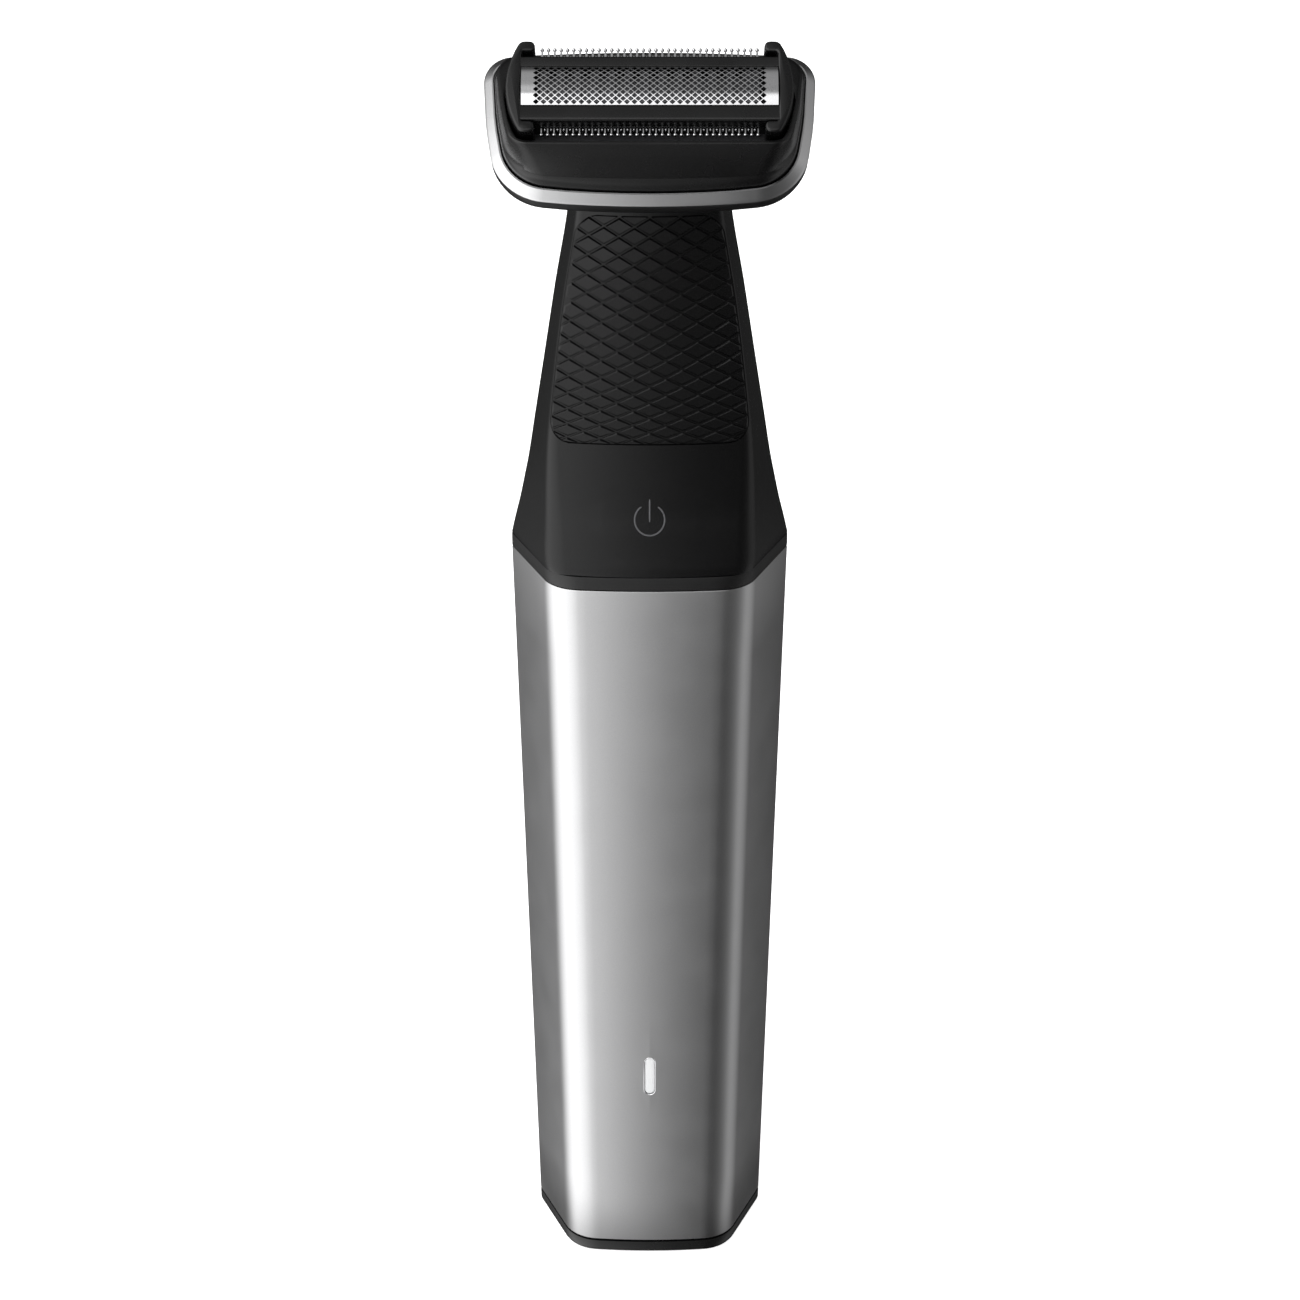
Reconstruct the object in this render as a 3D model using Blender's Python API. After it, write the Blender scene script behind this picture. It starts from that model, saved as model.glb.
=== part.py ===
"""Body groomer: silver handle, soft black neck and a tilted shaving head.

The groomer stands upright on its flat base.  X is to the right, the front
faces -Y and +Z runs up the handle.  Dimensions are in millimetres and are
scaled to metres when the meshes are made.
"""
import math

import bmesh
import bpy
from mathutils import Vector

MM = 0.001

# Handle sleeve: a rounded hexagon, widest at the seam and tapering to the base
SEAM_Z = 120.3
SLEEVE_BOTTOM_Z = 2.5
SEAM_HALF_WIDTH = 20.0
SEAM_HALF_DEPTH = 15.2
SEAM_CORNER_X = 13.6
BASE_TAPER = 0.90
FACE_BULGE = 0.8
RIDGE_RADIUS = 1.5
CORNER_RADIUS = 6.0
SLEEVE_WALL = 1.2
GAP = 0.3

# Base cap and charging socket
BASE_CHAMFER = 0.6
PLUG_TOP_Z = 6.5
PLUG_INSET = 2.3
SEAL_WIDTH = 0.7
SOCKET_HALF_WIDTH = 5.0
SOCKET_HALF_DEPTH = 3.5
SOCKET_MOUTH_HALF_WIDTH = 3.8
SOCKET_MOUTH_HALF_DEPTH = 2.35
SOCKET_BOTTOM_Z = 0.2
SOCKET_FLOOR_Z = 6.2
SOCKET_TOP_Z = 8.0
CONTACT_SPACING = 1.8
CONTACT_RADIUS = 0.6
CONTACT_HEIGHT = 1.3

# Status light
LIGHT_Z = 35.45
LIGHT_HALF_WIDTH = 0.82
LIGHT_HALF_HEIGHT = 3.5
LENS_THICKNESS = 1.5
PIPE_BACK_Y = -9.5

# Collar between the sleeve and the neck
COLLAR_BOTTOM_Z = 120.6
COLLAR_TOP_Z = 122.4
COLLAR_WALL = 2.6

# Neck, bottom to top: height, half width, front, rear, corner inset, corner radius
NECK_PROFILE = (
    (122.7, 19.95, -15.2, 15.2, 6.0, 4.0),
    (125.1, 19.4, -14.4, 14.5, 5.2, 3.8),
    (128.3, 18.6, -13.4, 13.8, 4.4, 3.5),
    (131.4, 17.95, -12.4, 13.2, 3.7, 3.1),
    (134.6, 17.3, -11.6, 12.7, 3.0, 2.7),
    (140.8, 16.3, -10.4, 12.0, 2.2, 2.0),
    (150.0, 14.8, -8.9, 11.0, 1.6, 1.6),
    (160.0, 13.2, -7.6, 10.0, 1.3, 1.4),
    (173.3, 11.0, -6.8, 8.3, 1.2, 1.3),
    (192.0, 9.8, -6.0, 5.8, 1.3, 1.4),
)
NECK_STATIONS = (122.7, 124.0, 125.6, 128.3, 131.4, 134.6, 140.8, 150.0, 160.0, 168.0)
NECK_WALL = 1.6
NECK_BULGE = 1.2
NECK_TOP_N = -13.05

# Grip pad set into the front of the neck
PAD_BOTTOM_Z = 140.5
PAD_TOP_Z = 172.7
PAD_EDGE = 0.35
PAD_THICKNESS = 0.7
PAD_CORNER_RADIUS = 3.0

# Power button under the soft skin of the neck
BUTTON_Y = -12.72
BUTTON_Z = 130.3
BUTTON_TILT = math.radians(18.0)
BUTTON_RADIUS = 4.6
BUTTON_THICKNESS = 1.5
SWITCH_HALF_WIDTH = 3.0
SWITCH_FRONT_Y = -9.8

# Cells, board and chassis inside the handle
CELL_RADIUS = 7.1
CELL_X = 7.6
CELL_Y = 2.0
CELL_BOTTOM_Z = 18.0
CELL_LENGTH = 50.0
STRAP_THICKNESS = 0.3
STRAP_HALF_WIDTH = 3.0
BOARD_HALF_WIDTH = 10.0
BOARD_BOTTOM_Z = 10.0
BOARD_TOP_Z = 136.0
BOARD_FRONT_Y = -7.8
BOARD_BACK_Y = -6.8
CHASSIS_FRONT_Y = 9.5
CHASSIS_BACK_Y = 10.7

# Motor and drive
DRIVE_Y = 1.0
MOTOR_RADIUS = 6.0
MOTOR_BOTTOM_Z = 140.0
MOTOR_TOP_Z = 160.0
SHAFT_RADIUS = 0.75
CAM_RADIUS = 3.0
CAM_BOTTOM_Z = 163.0
CAM_TOP_Z = 165.0
ECCENTRICITY = 1.0
CAM_PIN_RADIUS = 0.7
CAM_PIN_TOP_Z = 168.6
BRIDGE_HALF_WIDTH = 6.0
BRIDGE_HALF_DEPTH = 4.5
BRIDGE_BOTTOM_Z = 166.2
BRIDGE_TOP_Z = 168.8
BRIDGE_SLOT_HALF_WIDTH = 2.95
BRIDGE_SLOT_HALF_DEPTH = 2.0
GUIDE_X = 7.9
LEVER_HALF_WIDTH = 1.25
LEVER_HALF_DEPTH = 0.9
LEVER_TIP_N = -1.7

# Head frame: u runs up and back along the head, n points out of the shaving face
HEAD_ORIGIN = Vector((0.0, -8.75, 190.15))
HEAD_TILT = math.radians(45.0)
HEAD_FRONT_X = 20.4
HEAD_REAR_X = 22.6
HEAD_FRONT_U = -10.6
HEAD_REAR_U = 10.35
HEAD_FRONT_BULGE = 1.3
HEAD_REAR_BULGE = 0.2
RIM_HALF_DEPTH = 7.85
RIM_N = 0.9
RIM_SLOPE = 0.3
RIM_INSET = 2.25
SHOULDER_INSET = 1.85
SHOULDER_N = -6.2
DOME_INSET = 1.6
DOME_BOTTOM_N = -9.65
PASSAGE_HALF_WIDTH = 4.4
PASSAGE_HALF_DEPTH = 3.1
HEAD_SIDE_BULGE = 0.45
HEAD_FRONT_RADIUS = 8.0
HEAD_REAR_RADIUS = 6.0
HEAD_LEAST_RADIUS = 1.2
RECESS_HALF_WIDTH = 19.05
RECESS_HALF_DEPTH = 7.5
RECESS_CORNER_DROP = 2.05
# Sections of the two rings of the head as (offset inwards, level n)
LOWER_SHELL_SECTION = ((3.2, -11.2), (1.9, -10.9), (1.75, -9.95), (0.15, -9.95),
                       (0.1, -11.3), (0.55, -12.1), (1.5, -12.4))
TRIM_RING_SECTION = ((1.4, -8.3), (0.7, -8.55), (0.0, -9.15), (0.1, -9.65), (1.4, -9.65))

# Pivot bracket, drive boot and carrier under the cassette
BRACKET_HALF_WIDTH = 17.6
BRACKET_WALL = 1.4
BRACKET_BOTTOM_N = -10.9
BRACKET_TOP_N = -3.5
BRACKET_HALF_DEPTH = 4.0
BOOT_HALF_WIDTH = 4.1
BOOT_HALF_DEPTH = 2.8
BOOT_BORE_HALF_WIDTH = 2.7
BOOT_BORE_HALF_DEPTH = 1.9
CARRIER_HALF_WIDTH = 15.5
CARRIER_HALF_DEPTH = 6.2
CARRIER_BOTTOM_N = -6.4
CARRIER_TOP_N = -3.2
CARRIER_OPENING_HALF_WIDTH = 7.0
CARRIER_OPENING_HALF_DEPTH = 3.7
PIN_INNER_X = 13.2
PIN_OUTER_X = 18.0
PIVOT_N = -4.5
PIVOT_PIN_RADIUS = 0.7

# Shaving cassette
CAP_HALF_WIDTH = 18.8
CAP_HALF_DEPTH = 6.55
CAP_CORNER_DROP = 1.85
CAP_CORNER_CUT = 0.6
CAP_EDGE_DROP = 1.0
CAP_EDGE_DRAW = 0.5
CAP_INNER_X = 17.1
EAR_INNER_X = 15.0
EAR_INNER_U = 5.05
CASSETTE_BOTTOM_N = -2.9
CAP_TOP_N = 1.9
FOIL_RADIUS = 6.0
FOIL_EDGE_U = 2.7
FOIL_EDGE_N = 1.8
FOIL_THICKNESS = 0.15
FOIL_SKIRT = 1.1
FOIL_HALF_LENGTH = 16.9
BAR_INNER_U = 2.83
BAR_BOTTOM_N = 0.3
BAR_TOP_N = 1.75
BAR_FRONT_OUTER_U = 4.85
BAR_REAR_OUTER_U = 4.42
COMB_HALF_LENGTH = 14.75
TOOTH_PITCH = 0.83
COMB_TEETH = 35
BLADE_TEETH = 33
BLADE_HALF_LENGTH = 13.75
BLADE_ROOT_U = 3.5
TOOTH_WIDTH = 0.38
COMB_ROOT_U = 3.0
COMB_GULLET_U = 4.75
COMB_FRONT_TIP_U = 6.28
COMB_REAR_TIP_U = 6.4
COMB_BOTTOM_N = -0.25
COMB_TOP_N = 0.12
BLADE_BOTTOM_N = -0.75
BLADE_TOP_N = -0.4
BLADE_TIP_U = 5.9
CUTTER_HALF_LENGTH = 14.3
CUTTER_RADIUS = 5.6
CUTTER_FINS = 13
CUTTER_BOTTOM_N = -2.9
CUTTER_HALF_ANGLE = math.radians(24.0)
CUTTER_FOOT_U = 2.3
CUTTER_STEP_N = 0.4
CUTTER_FIN_DEPTH = 0.8


def make_material(name, color, roughness, metallic):
    """Return a plain Principled material."""
    material = bpy.data.materials.new(name)
    material.use_nodes = True
    shader = material.node_tree.nodes["Principled BSDF"]
    shader.inputs["Base Color"].default_value = (*color, 1.0)
    shader.inputs["Roughness"].default_value = roughness
    shader.inputs["Metallic"].default_value = metallic
    return material


def add_mesh(name, points, faces, material, origin=(0.0, 0.0, 0.0), rotation=(0.0, 0.0, 0.0)):
    """Make one closed, smooth-by-angle object; points are relative to its origin."""
    mesh = bpy.data.meshes.new(name)
    mesh.from_pydata([tuple(value * MM for value in point) for point in points], [], faces)
    work = bmesh.new()
    work.from_mesh(mesh)
    bmesh.ops.recalc_face_normals(work, faces=work.faces)
    work.to_mesh(mesh)
    work.free()
    for polygon in mesh.polygons:
        polygon.use_smooth = True
    mesh.set_sharp_from_angle(angle=math.radians(32.0))
    if material is not None:
        mesh.materials.append(material)
    made = bpy.data.objects.new(name, mesh)
    bpy.context.scene.collection.objects.link(made)
    made.location = [value * MM for value in origin]
    made.rotation_euler = rotation
    return made


def loft(loops, wrap=False):
    """Join equal-length loops into points and faces; wrap closes the last onto the first."""
    points = []
    for loop in loops:
        points.extend(loop)
    count = len(loops[0])
    faces = []
    last = len(loops) if wrap else len(loops) - 1
    for level in range(last):
        lower = level * count
        upper = ((level + 1) % len(loops)) * count
        for index in range(count):
            after = (index + 1) % count
            faces.append((lower + index, lower + after, upper + after, upper + index))
    if not wrap:
        faces.append(tuple(range(count)))
        top = (len(loops) - 1) * count
        faces.append(tuple(top + index for index in range(count)))
    return points, faces


def prism_z(outline, low, high):
    """Extrude an (x, y) outline along z."""
    return loft([[(x, y, low) for x, y in outline], [(x, y, high) for x, y in outline]])


def prism_x(outline, low, high):
    """Extrude a (y, z) outline along x."""
    return loft([[(low, y, z) for y, z in outline], [(high, y, z) for y, z in outline]])


def prism_y(outline, low, high):
    """Extrude an (x, z) outline along y."""
    return loft([[(x, low, z) for x, z in outline], [(x, high, z) for x, z in outline]])


def box(low, high):
    """A plain box between two corners."""
    outline = ((low[0], low[1]), (high[0], low[1]), (high[0], high[1]), (low[0], high[1]))
    return prism_z(outline, low[2], high[2])


def circle(radius, count, center=(0.0, 0.0)):
    """Points of a circle in a plane."""
    turns = [2.0 * math.pi * index / count for index in range(count)]
    return [(center[0] + radius * math.cos(a), center[1] + radius * math.sin(a)) for a in turns]


def rounded_outline(corners, radii, steps):
    """Fillet the corners of a polygon; a radius of 0 keeps the plain point."""
    result = []
    for index, corner in enumerate(corners):
        radius = radii[index]
        here = Vector(corner)
        if radius == 0.0:
            result.append((here.x, here.y))
            continue
        before = (Vector(corners[index - 1]) - here).normalized()
        after = (Vector(corners[(index + 1) % len(corners)]) - here).normalized()
        half_angle = before.angle(after) / 2.0
        center = here + (before + after).normalized() * (radius / math.sin(half_angle))
        start = here + before * (radius / math.tan(half_angle)) - center
        turn = math.pi - 2.0 * half_angle
        side = 1.0 if before.cross(after) < 0.0 else -1.0
        for step in range(steps[index] + 1):
            angle = side * turn * step / steps[index]
            x = center.x + start.x * math.cos(angle) - start.y * math.sin(angle)
            y = center.y + start.x * math.sin(angle) + start.y * math.cos(angle)
            result.append((x, y))
    return result


def hexagon(half_width, front, rear, corner_x, bulge, radius, inset=0.0):
    """Rounded hexagon with ridges at the sides and gently convex front and rear faces."""
    middle = (front + rear) / 2.0
    depth = (rear - front) / 2.0 - bulge
    lean = math.atan2(depth, half_width - corner_x)
    ridge_x = half_width + RIDGE_RADIUS * (1.0 / math.sin(lean) - 1.0) - inset / math.sin(lean)
    corner = corner_x - inset * (1.0 - math.cos(lean)) / math.sin(lean)
    rear_y = rear - bulge - inset
    front_y = front + bulge + inset
    side = corner * 0.5
    rise = bulge * 0.75
    points = (
        (ridge_x, middle), (corner, rear_y), (side, rear_y + rise), (0.0, rear_y + bulge),
        (-side, rear_y + rise), (-corner, rear_y), (-ridge_x, middle), (-corner, front_y),
        (-side, front_y - rise), (0.0, front_y - bulge), (side, front_y - rise), (corner, front_y),
    )
    ridge = RIDGE_RADIUS
    round_corner = max(radius - inset, 0.6)
    radii = (ridge, round_corner, 0.0, 0.0, 0.0, round_corner)
    steps = (2, 4, 1, 1, 1, 4)
    return rounded_outline(points, radii + radii, steps + steps)


def sleeve_outline(z, inset=0.0):
    """Handle section at a height, tapering from the seam to the base."""
    share = (z - SLEEVE_BOTTOM_Z) / (SEAM_Z - SLEEVE_BOTTOM_Z)
    scale = BASE_TAPER + (1.0 - BASE_TAPER) * share
    depth = SEAM_HALF_DEPTH * scale
    return hexagon(SEAM_HALF_WIDTH * scale, -depth, depth, SEAM_CORNER_X * scale,
                   FACE_BULGE, CORNER_RADIUS, inset)


def ring_at(z, inset=0.0):
    """Handle section as points in space."""
    return [(x, y, z) for x, y in sleeve_outline(z, inset)]


def neck_sizes(z):
    """Interpolate the neck profile at a height."""
    rows = NECK_PROFILE
    for low, high in zip(rows, rows[1:]):
        if z <= high[0]:
            break
    share = (z - low[0]) / (high[0] - low[0])
    return [low[k] + (high[k] - low[k]) * share for k in range(1, len(low))]


def neck_outline(z, inset=0.0):
    """Neck section at a height."""
    half_width, front, rear, corner_inset, radius = neck_sizes(z)
    return hexagon(half_width, front, rear, half_width - corner_inset, NECK_BULGE, radius, inset)


def neck_ring_on_plane(n_value, inset=0.0):
    """Neck section cut by a plane parallel to the shaving face."""
    plane = HEAD_ORIGIN.z - HEAD_ORIGIN.y + n_value / math.cos(HEAD_TILT)
    count = len(neck_outline(NECK_STATIONS[0]))
    heights = [plane] * count
    for _ in range(12):
        heights = [plane + neck_outline(z, inset)[k][1] for k, z in enumerate(heights)]
    return [(*neck_outline(z, inset)[k], z) for k, z in enumerate(heights)]


def neck_loops(inset):
    """All neck sections from the collar to the tilted top."""
    loops = [[(x, y, z) for x, y in neck_outline(z, inset)] for z in NECK_STATIONS]
    loops.append(neck_ring_on_plane(NECK_TOP_N, inset))
    return loops


def half_of(loop, front):
    """Front or rear half of a neck section, ending on the side ridges."""
    middle = len(loop) // 2 + 1
    if front:
        part = [loop[k % len(loop)] for k in range(middle, len(loop) + 2)]
        shift = -GAP / 2.0
    else:
        part = loop[1:middle + 1]
        shift = GAP / 2.0
    ends = (0, len(part) - 1)
    return [(x, y + shift if k in ends else y, z) for k, (x, y, z) in enumerate(part)]


def front_surface(x, z):
    """Depth of the neck front at a width and height."""
    half_width, front, _, corner_inset, _ = neck_sizes(z)
    share = x / (half_width - corner_inset)
    return front + NECK_BULGE * share * share


def pad_half_width(z):
    """Half width of the grip pad with rounded corners top and bottom."""
    half_width, _, _, corner_inset, _ = neck_sizes(z)
    wide = half_width - corner_inset - PAD_EDGE
    reach = min(z - PAD_BOTTOM_Z, PAD_TOP_Z - z, PAD_CORNER_RADIUS)
    left = PAD_CORNER_RADIUS - reach
    return wide - PAD_CORNER_RADIUS + math.sqrt(PAD_CORNER_RADIUS ** 2 - left ** 2)


def pad_loops(margin, outward, inward):
    """Closed loops of a thin patch that follows the front of the neck."""
    height = PAD_TOP_Z - PAD_BOTTOM_Z
    ends = (0.15, 0.9, 2.0, 3.2)
    middle = tuple(height * share for share in (0.3, 0.5, 0.7))
    levels = ends + middle + tuple(height - end for end in reversed(ends))
    loops = []
    for k, level in enumerate(levels):
        z = PAD_BOTTOM_Z + level
        width = pad_half_width(z) + margin
        lift = -margin if k == 0 else margin if k == len(levels) - 1 else 0.0
        shares = (-1.0, -0.6, -0.2, 0.2, 0.6, 1.0)
        outer = [(s * width, front_surface(s * width, z) - outward, z + lift) for s in shares]
        inner = [(s * width, front_surface(s * width, z) + inward, z + lift)
                 for s in reversed(shares)]
        loops.append(outer + inner)
    return loops


def head_outline(off_x, rear, front, front_bulge, rear_radius, front_radius, steps=4):
    """Four-sided outline in head coordinates with bowed edges and rounded corners."""
    rear_x = HEAD_REAR_X - off_x
    front_x = HEAD_FRONT_X - off_x
    side_x = (rear_x + front_x) / 2.0 + HEAD_SIDE_BULGE
    rear_rise = 0.75 * HEAD_REAR_BULGE
    front_rise = 0.75 * front_bulge
    corners = (
        (rear_x, rear), (0.5 * rear_x, rear + rear_rise), (0.0, rear + HEAD_REAR_BULGE),
        (-0.5 * rear_x, rear + rear_rise), (-rear_x, rear), (-side_x, 0.0),
        (-front_x, front), (-0.5 * front_x, front - front_rise), (0.0, front - front_bulge),
        (0.5 * front_x, front - front_rise), (front_x, front), (side_x, 0.0),
    )
    radii = (rear_radius, 0.0, 0.0, 0.0, rear_radius, 0.0,
             front_radius, 0.0, 0.0, 0.0, front_radius, 0.0)
    count = (steps, 1, 1, 1, steps, 1)
    return rounded_outline(corners, radii, count + count)


def head_ring(offset, n):
    """Head outline moved inwards by an offset, at a level n."""
    rear_radius = max(HEAD_REAR_RADIUS - offset, HEAD_LEAST_RADIUS)
    front_radius = max(HEAD_FRONT_RADIUS - offset, HEAD_LEAST_RADIUS)
    outline = head_outline(offset, HEAD_REAR_U - offset, HEAD_FRONT_U + offset,
                           HEAD_FRONT_BULGE, rear_radius, front_radius)
    return [(x, u, n) for x, u in outline]


def recess_outline():
    """Opening of the head around the cassette, its ends bowed outwards."""
    points = []
    for end in (1.0, -1.0):
        for share in (-1.0, -0.75, -0.4, 0.0, 0.4, 0.75, 1.0):
            u = share * end * RECESS_HALF_DEPTH
            x = end * (RECESS_HALF_WIDTH - RECESS_CORNER_DROP * share * share)
            points.append((x, u))
    return points


def head_place(name, solid, material, origin=(0.0, 0.0, 0.0)):
    """Place a solid given in head coordinates (x, u, n) with its origin at a head point."""
    points, faces = solid
    moved = [tuple(p[k] - origin[k] for k in range(3)) for p in points]
    return add_mesh(name, moved, faces, material, head_point(*origin), (HEAD_TILT, 0.0, 0.0))


def head_point(x, u, n):
    """World position, in millimetres, of a point given in head coordinates."""
    slope = math.cos(HEAD_TILT)
    return (x, HEAD_ORIGIN.y + slope * (u - n), HEAD_ORIGIN.z + slope * (u + n))


def cut(target, solid, origin=(0.0, 0.0, 0.0), rotation=(0.0, 0.0, 0.0)):
    """Subtract a solid from an object with an exact Boolean."""
    cutter = add_mesh("cutter", solid[0], solid[1], None, origin, rotation)
    cutter.hide_render = True
    cutter.display_type = "WIRE"
    modifier = target.modifiers.new("cut", "BOOLEAN")
    modifier.operation = "DIFFERENCE"
    modifier.solver = "EXACT"
    modifier.object = cutter


def head_cut(target, solid):
    """Subtract a solid given in head coordinates."""
    cut(target, solid, head_point(0.0, 0.0, 0.0), (HEAD_TILT, 0.0, 0.0))


def cylinder(radius, low, high, count=24, center=(0.0, 0.0)):
    """Upright cylinder."""
    return prism_z(circle(radius, count, center), low, high)


def cylinder_x(radius, low, high, u, n, count=16):
    """Cylinder along x."""
    return prism_x(circle(radius, count, (u, n)), low, high)


def capsule_outline(half_width, half_height, center, steps=8):
    """Upright capsule in the x-z plane."""
    straight = half_height - half_width
    points = []
    for end in (1.0, -1.0):
        for step in range(steps + 1):
            angle = math.pi * step / steps + (0.0 if end > 0.0 else math.pi)
            x = center[0] + half_width * math.cos(angle)
            z = center[1] + half_width * math.sin(angle) + end * straight
            points.append((x, z))
    return points


def comb_outline(side, root, gullet, tip, half_length, count):
    """Plate with a row of teeth along one edge; side is -1 for the front."""
    first = -(count - 1) * TOOTH_PITCH / 2.0
    points = [(-half_length, side * root), (-half_length, side * gullet)]
    for tooth in range(count):
        x = first + tooth * TOOTH_PITCH
        left, right = x - TOOTH_WIDTH / 2.0, x + TOOTH_WIDTH / 2.0
        points.extend(((left, side * gullet), (left, side * tip)))
        points.extend(((right, side * tip), (right, side * gullet)))
    points.extend(((half_length, side * gullet), (half_length, side * root)))
    return points


def foil_profile():
    """Closed cross-section of the arched foil with its two hidden skirts."""
    half_angle = math.asin(FOIL_EDGE_U / FOIL_RADIUS)
    center_n = FOIL_EDGE_N - FOIL_RADIUS * math.cos(half_angle)
    outer = []
    inner = []
    steps = 12
    for step in range(steps + 1):
        angle = -half_angle + 2.0 * half_angle * step / steps
        outer.append((FOIL_RADIUS * math.sin(angle), center_n + FOIL_RADIUS * math.cos(angle)))
        radius = FOIL_RADIUS - FOIL_THICKNESS
        inner.append((radius * math.sin(angle), center_n + radius * math.cos(angle)))
    skirt_n = FOIL_EDGE_N - FOIL_SKIRT
    outer = [(-FOIL_EDGE_U, skirt_n)] + outer + [(FOIL_EDGE_U, skirt_n)]
    inside = FOIL_EDGE_U - FOIL_THICKNESS
    inner = [(-inside, skirt_n)] + inner + [(inside, skirt_n)]
    return outer + inner[::-1]


def cutter_section(radius, x):
    """Section of the inner cutter: an arch on a narrow block."""
    center_n = FOIL_EDGE_N - FOIL_RADIUS * math.cos(math.asin(FOIL_EDGE_U / FOIL_RADIUS))
    half_angle = CUTTER_HALF_ANGLE
    steps = 6
    points = [(x, CUTTER_FOOT_U, CUTTER_BOTTOM_N), (x, radius * math.sin(half_angle), CUTTER_STEP_N)]
    for step in range(steps + 1):
        angle = half_angle - 2.0 * half_angle * step / steps
        points.append((x, radius * math.sin(angle), center_n + radius * math.cos(angle)))
    points.append((x, -radius * math.sin(half_angle), CUTTER_STEP_N))
    points.append((x, -CUTTER_FOOT_U, CUTTER_BOTTOM_N))
    return points


def end_cap_outline(side):
    """Plan of a cassette end cap with two ears reaching in beside the trimmers."""
    end_x = CAP_HALF_WIDTH - CAP_CORNER_DROP - CAP_CORNER_CUT
    points = [(end_x, -CAP_HALF_DEPTH)]
    for share in (-0.9, -0.7, -0.4, 0.0, 0.4, 0.7, 0.9):
        points.append((CAP_HALF_WIDTH - CAP_CORNER_DROP * share * share, share * CAP_HALF_DEPTH))
    points.append((end_x, CAP_HALF_DEPTH))
    points.append((EAR_INNER_X, CAP_HALF_DEPTH))
    points.append((EAR_INNER_X, EAR_INNER_U))
    points.append((CAP_INNER_X, EAR_INNER_U))
    points.append((CAP_INNER_X, -EAR_INNER_U))
    points.append((EAR_INNER_X, -EAR_INNER_U))
    points.append((EAR_INNER_X, -CAP_HALF_DEPTH))
    return [(side * x, u) for x, u in points]


def end_cap_solid(side):
    """End cap with its top edge drawn in to soften the ears."""
    outline = end_cap_outline(side)
    low = [(x, u, CASSETTE_BOTTOM_N) for x, u in outline]
    shoulder = [(x, u, CAP_TOP_N - CAP_EDGE_DROP) for x, u in outline]
    top = []
    for x, u in outline:
        outer = abs(x) > CAP_INNER_X + 0.05
        pull_x = CAP_EDGE_DRAW if outer else 0.0
        pull_u = CAP_EDGE_DRAW if abs(u) > CAP_HALF_DEPTH * 0.95 else 0.0
        top.append((x - side * pull_x, u - math.copysign(pull_u, u), CAP_TOP_N))
    return loft([low, shoulder, top])


for existing in list(bpy.data.objects):
    bpy.data.objects.remove(existing, do_unlink=True)

satin_silver = make_material("satin_silver", (0.55, 0.55, 0.56), 0.32, 1.0)
bright_metal = make_material("bright_metal", (0.75, 0.75, 0.76), 0.22, 1.0)
matte_black = make_material("matte_black", (0.018, 0.018, 0.019), 0.55, 0.0)
gloss_black = make_material("gloss_black", (0.012, 0.012, 0.013), 0.3, 0.0)
soft_rubber = make_material("soft_rubber", (0.02, 0.02, 0.021), 0.75, 0.0)
light_lens = make_material("light_lens", (0.92, 0.93, 0.95), 0.2, 0.0)
board_green = make_material("board_green", (0.03, 0.16, 0.07), 0.45, 0.0)
cell_wrap = make_material("cell_wrap", (0.12, 0.3, 0.2), 0.35, 0.0)
frame_grey = make_material("frame_grey", (0.2, 0.2, 0.21), 0.5, 0.0)
nickel = make_material("nickel", (0.62, 0.6, 0.55), 0.3, 1.0)
brass = make_material("brass", (0.7, 0.5, 0.22), 0.3, 1.0)

# Handle sleeve with the window of the status light
sleeve = add_mesh("body_sleeve", *loft([
    ring_at(SLEEVE_BOTTOM_Z), ring_at(SEAM_Z),
    ring_at(SEAM_Z, SLEEVE_WALL), ring_at(SLEEVE_BOTTOM_Z, SLEEVE_WALL)], wrap=True), satin_silver)
window = capsule_outline(LIGHT_HALF_WIDTH + 0.15, LIGHT_HALF_HEIGHT + 0.15, (0.0, LIGHT_Z))
cut(sleeve, prism_y(window, -20.0, -10.0))

# Base cap with its plug, seal ring and charging socket
base = add_mesh("base_cap", *loft([
    ring_at(0.0, BASE_CHAMFER), ring_at(0.5), ring_at(SLEEVE_BOTTOM_Z - GAP),
    ring_at(SLEEVE_BOTTOM_Z - GAP, PLUG_INSET), ring_at(PLUG_TOP_Z, PLUG_INSET)]), gloss_black)
cut(base, box((-SOCKET_HALF_WIDTH - GAP, -SOCKET_HALF_DEPTH - GAP, -2.0),
              (SOCKET_HALF_WIDTH + GAP, SOCKET_HALF_DEPTH + GAP, 12.0)))
seal_inner = PLUG_INSET - 0.15
seal_outer = seal_inner - SEAL_WIDTH
add_mesh("base_seal", *loft([
    ring_at(4.0, seal_outer), ring_at(5.2, seal_outer),
    ring_at(5.2, seal_inner), ring_at(4.0, seal_inner)], wrap=True), soft_rubber)
socket = add_mesh("charge_socket", *box(
    (-SOCKET_HALF_WIDTH, -SOCKET_HALF_DEPTH, SOCKET_BOTTOM_Z),
    (SOCKET_HALF_WIDTH, SOCKET_HALF_DEPTH, SOCKET_TOP_Z)), matte_black)
cut(socket, box((-SOCKET_MOUTH_HALF_WIDTH, -SOCKET_MOUTH_HALF_DEPTH, -2.0),
                (SOCKET_MOUTH_HALF_WIDTH, SOCKET_MOUTH_HALF_DEPTH, SOCKET_FLOOR_Z)))
for side, label in ((-1.0, "left"), (1.0, "right")):
    add_mesh("socket_contact_" + label, *cylinder(
        CONTACT_RADIUS, SOCKET_FLOOR_Z - 0.1 - CONTACT_HEIGHT, SOCKET_FLOOR_Z - 0.1, 12,
        (side * CONTACT_SPACING, 0.0)), brass)

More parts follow.
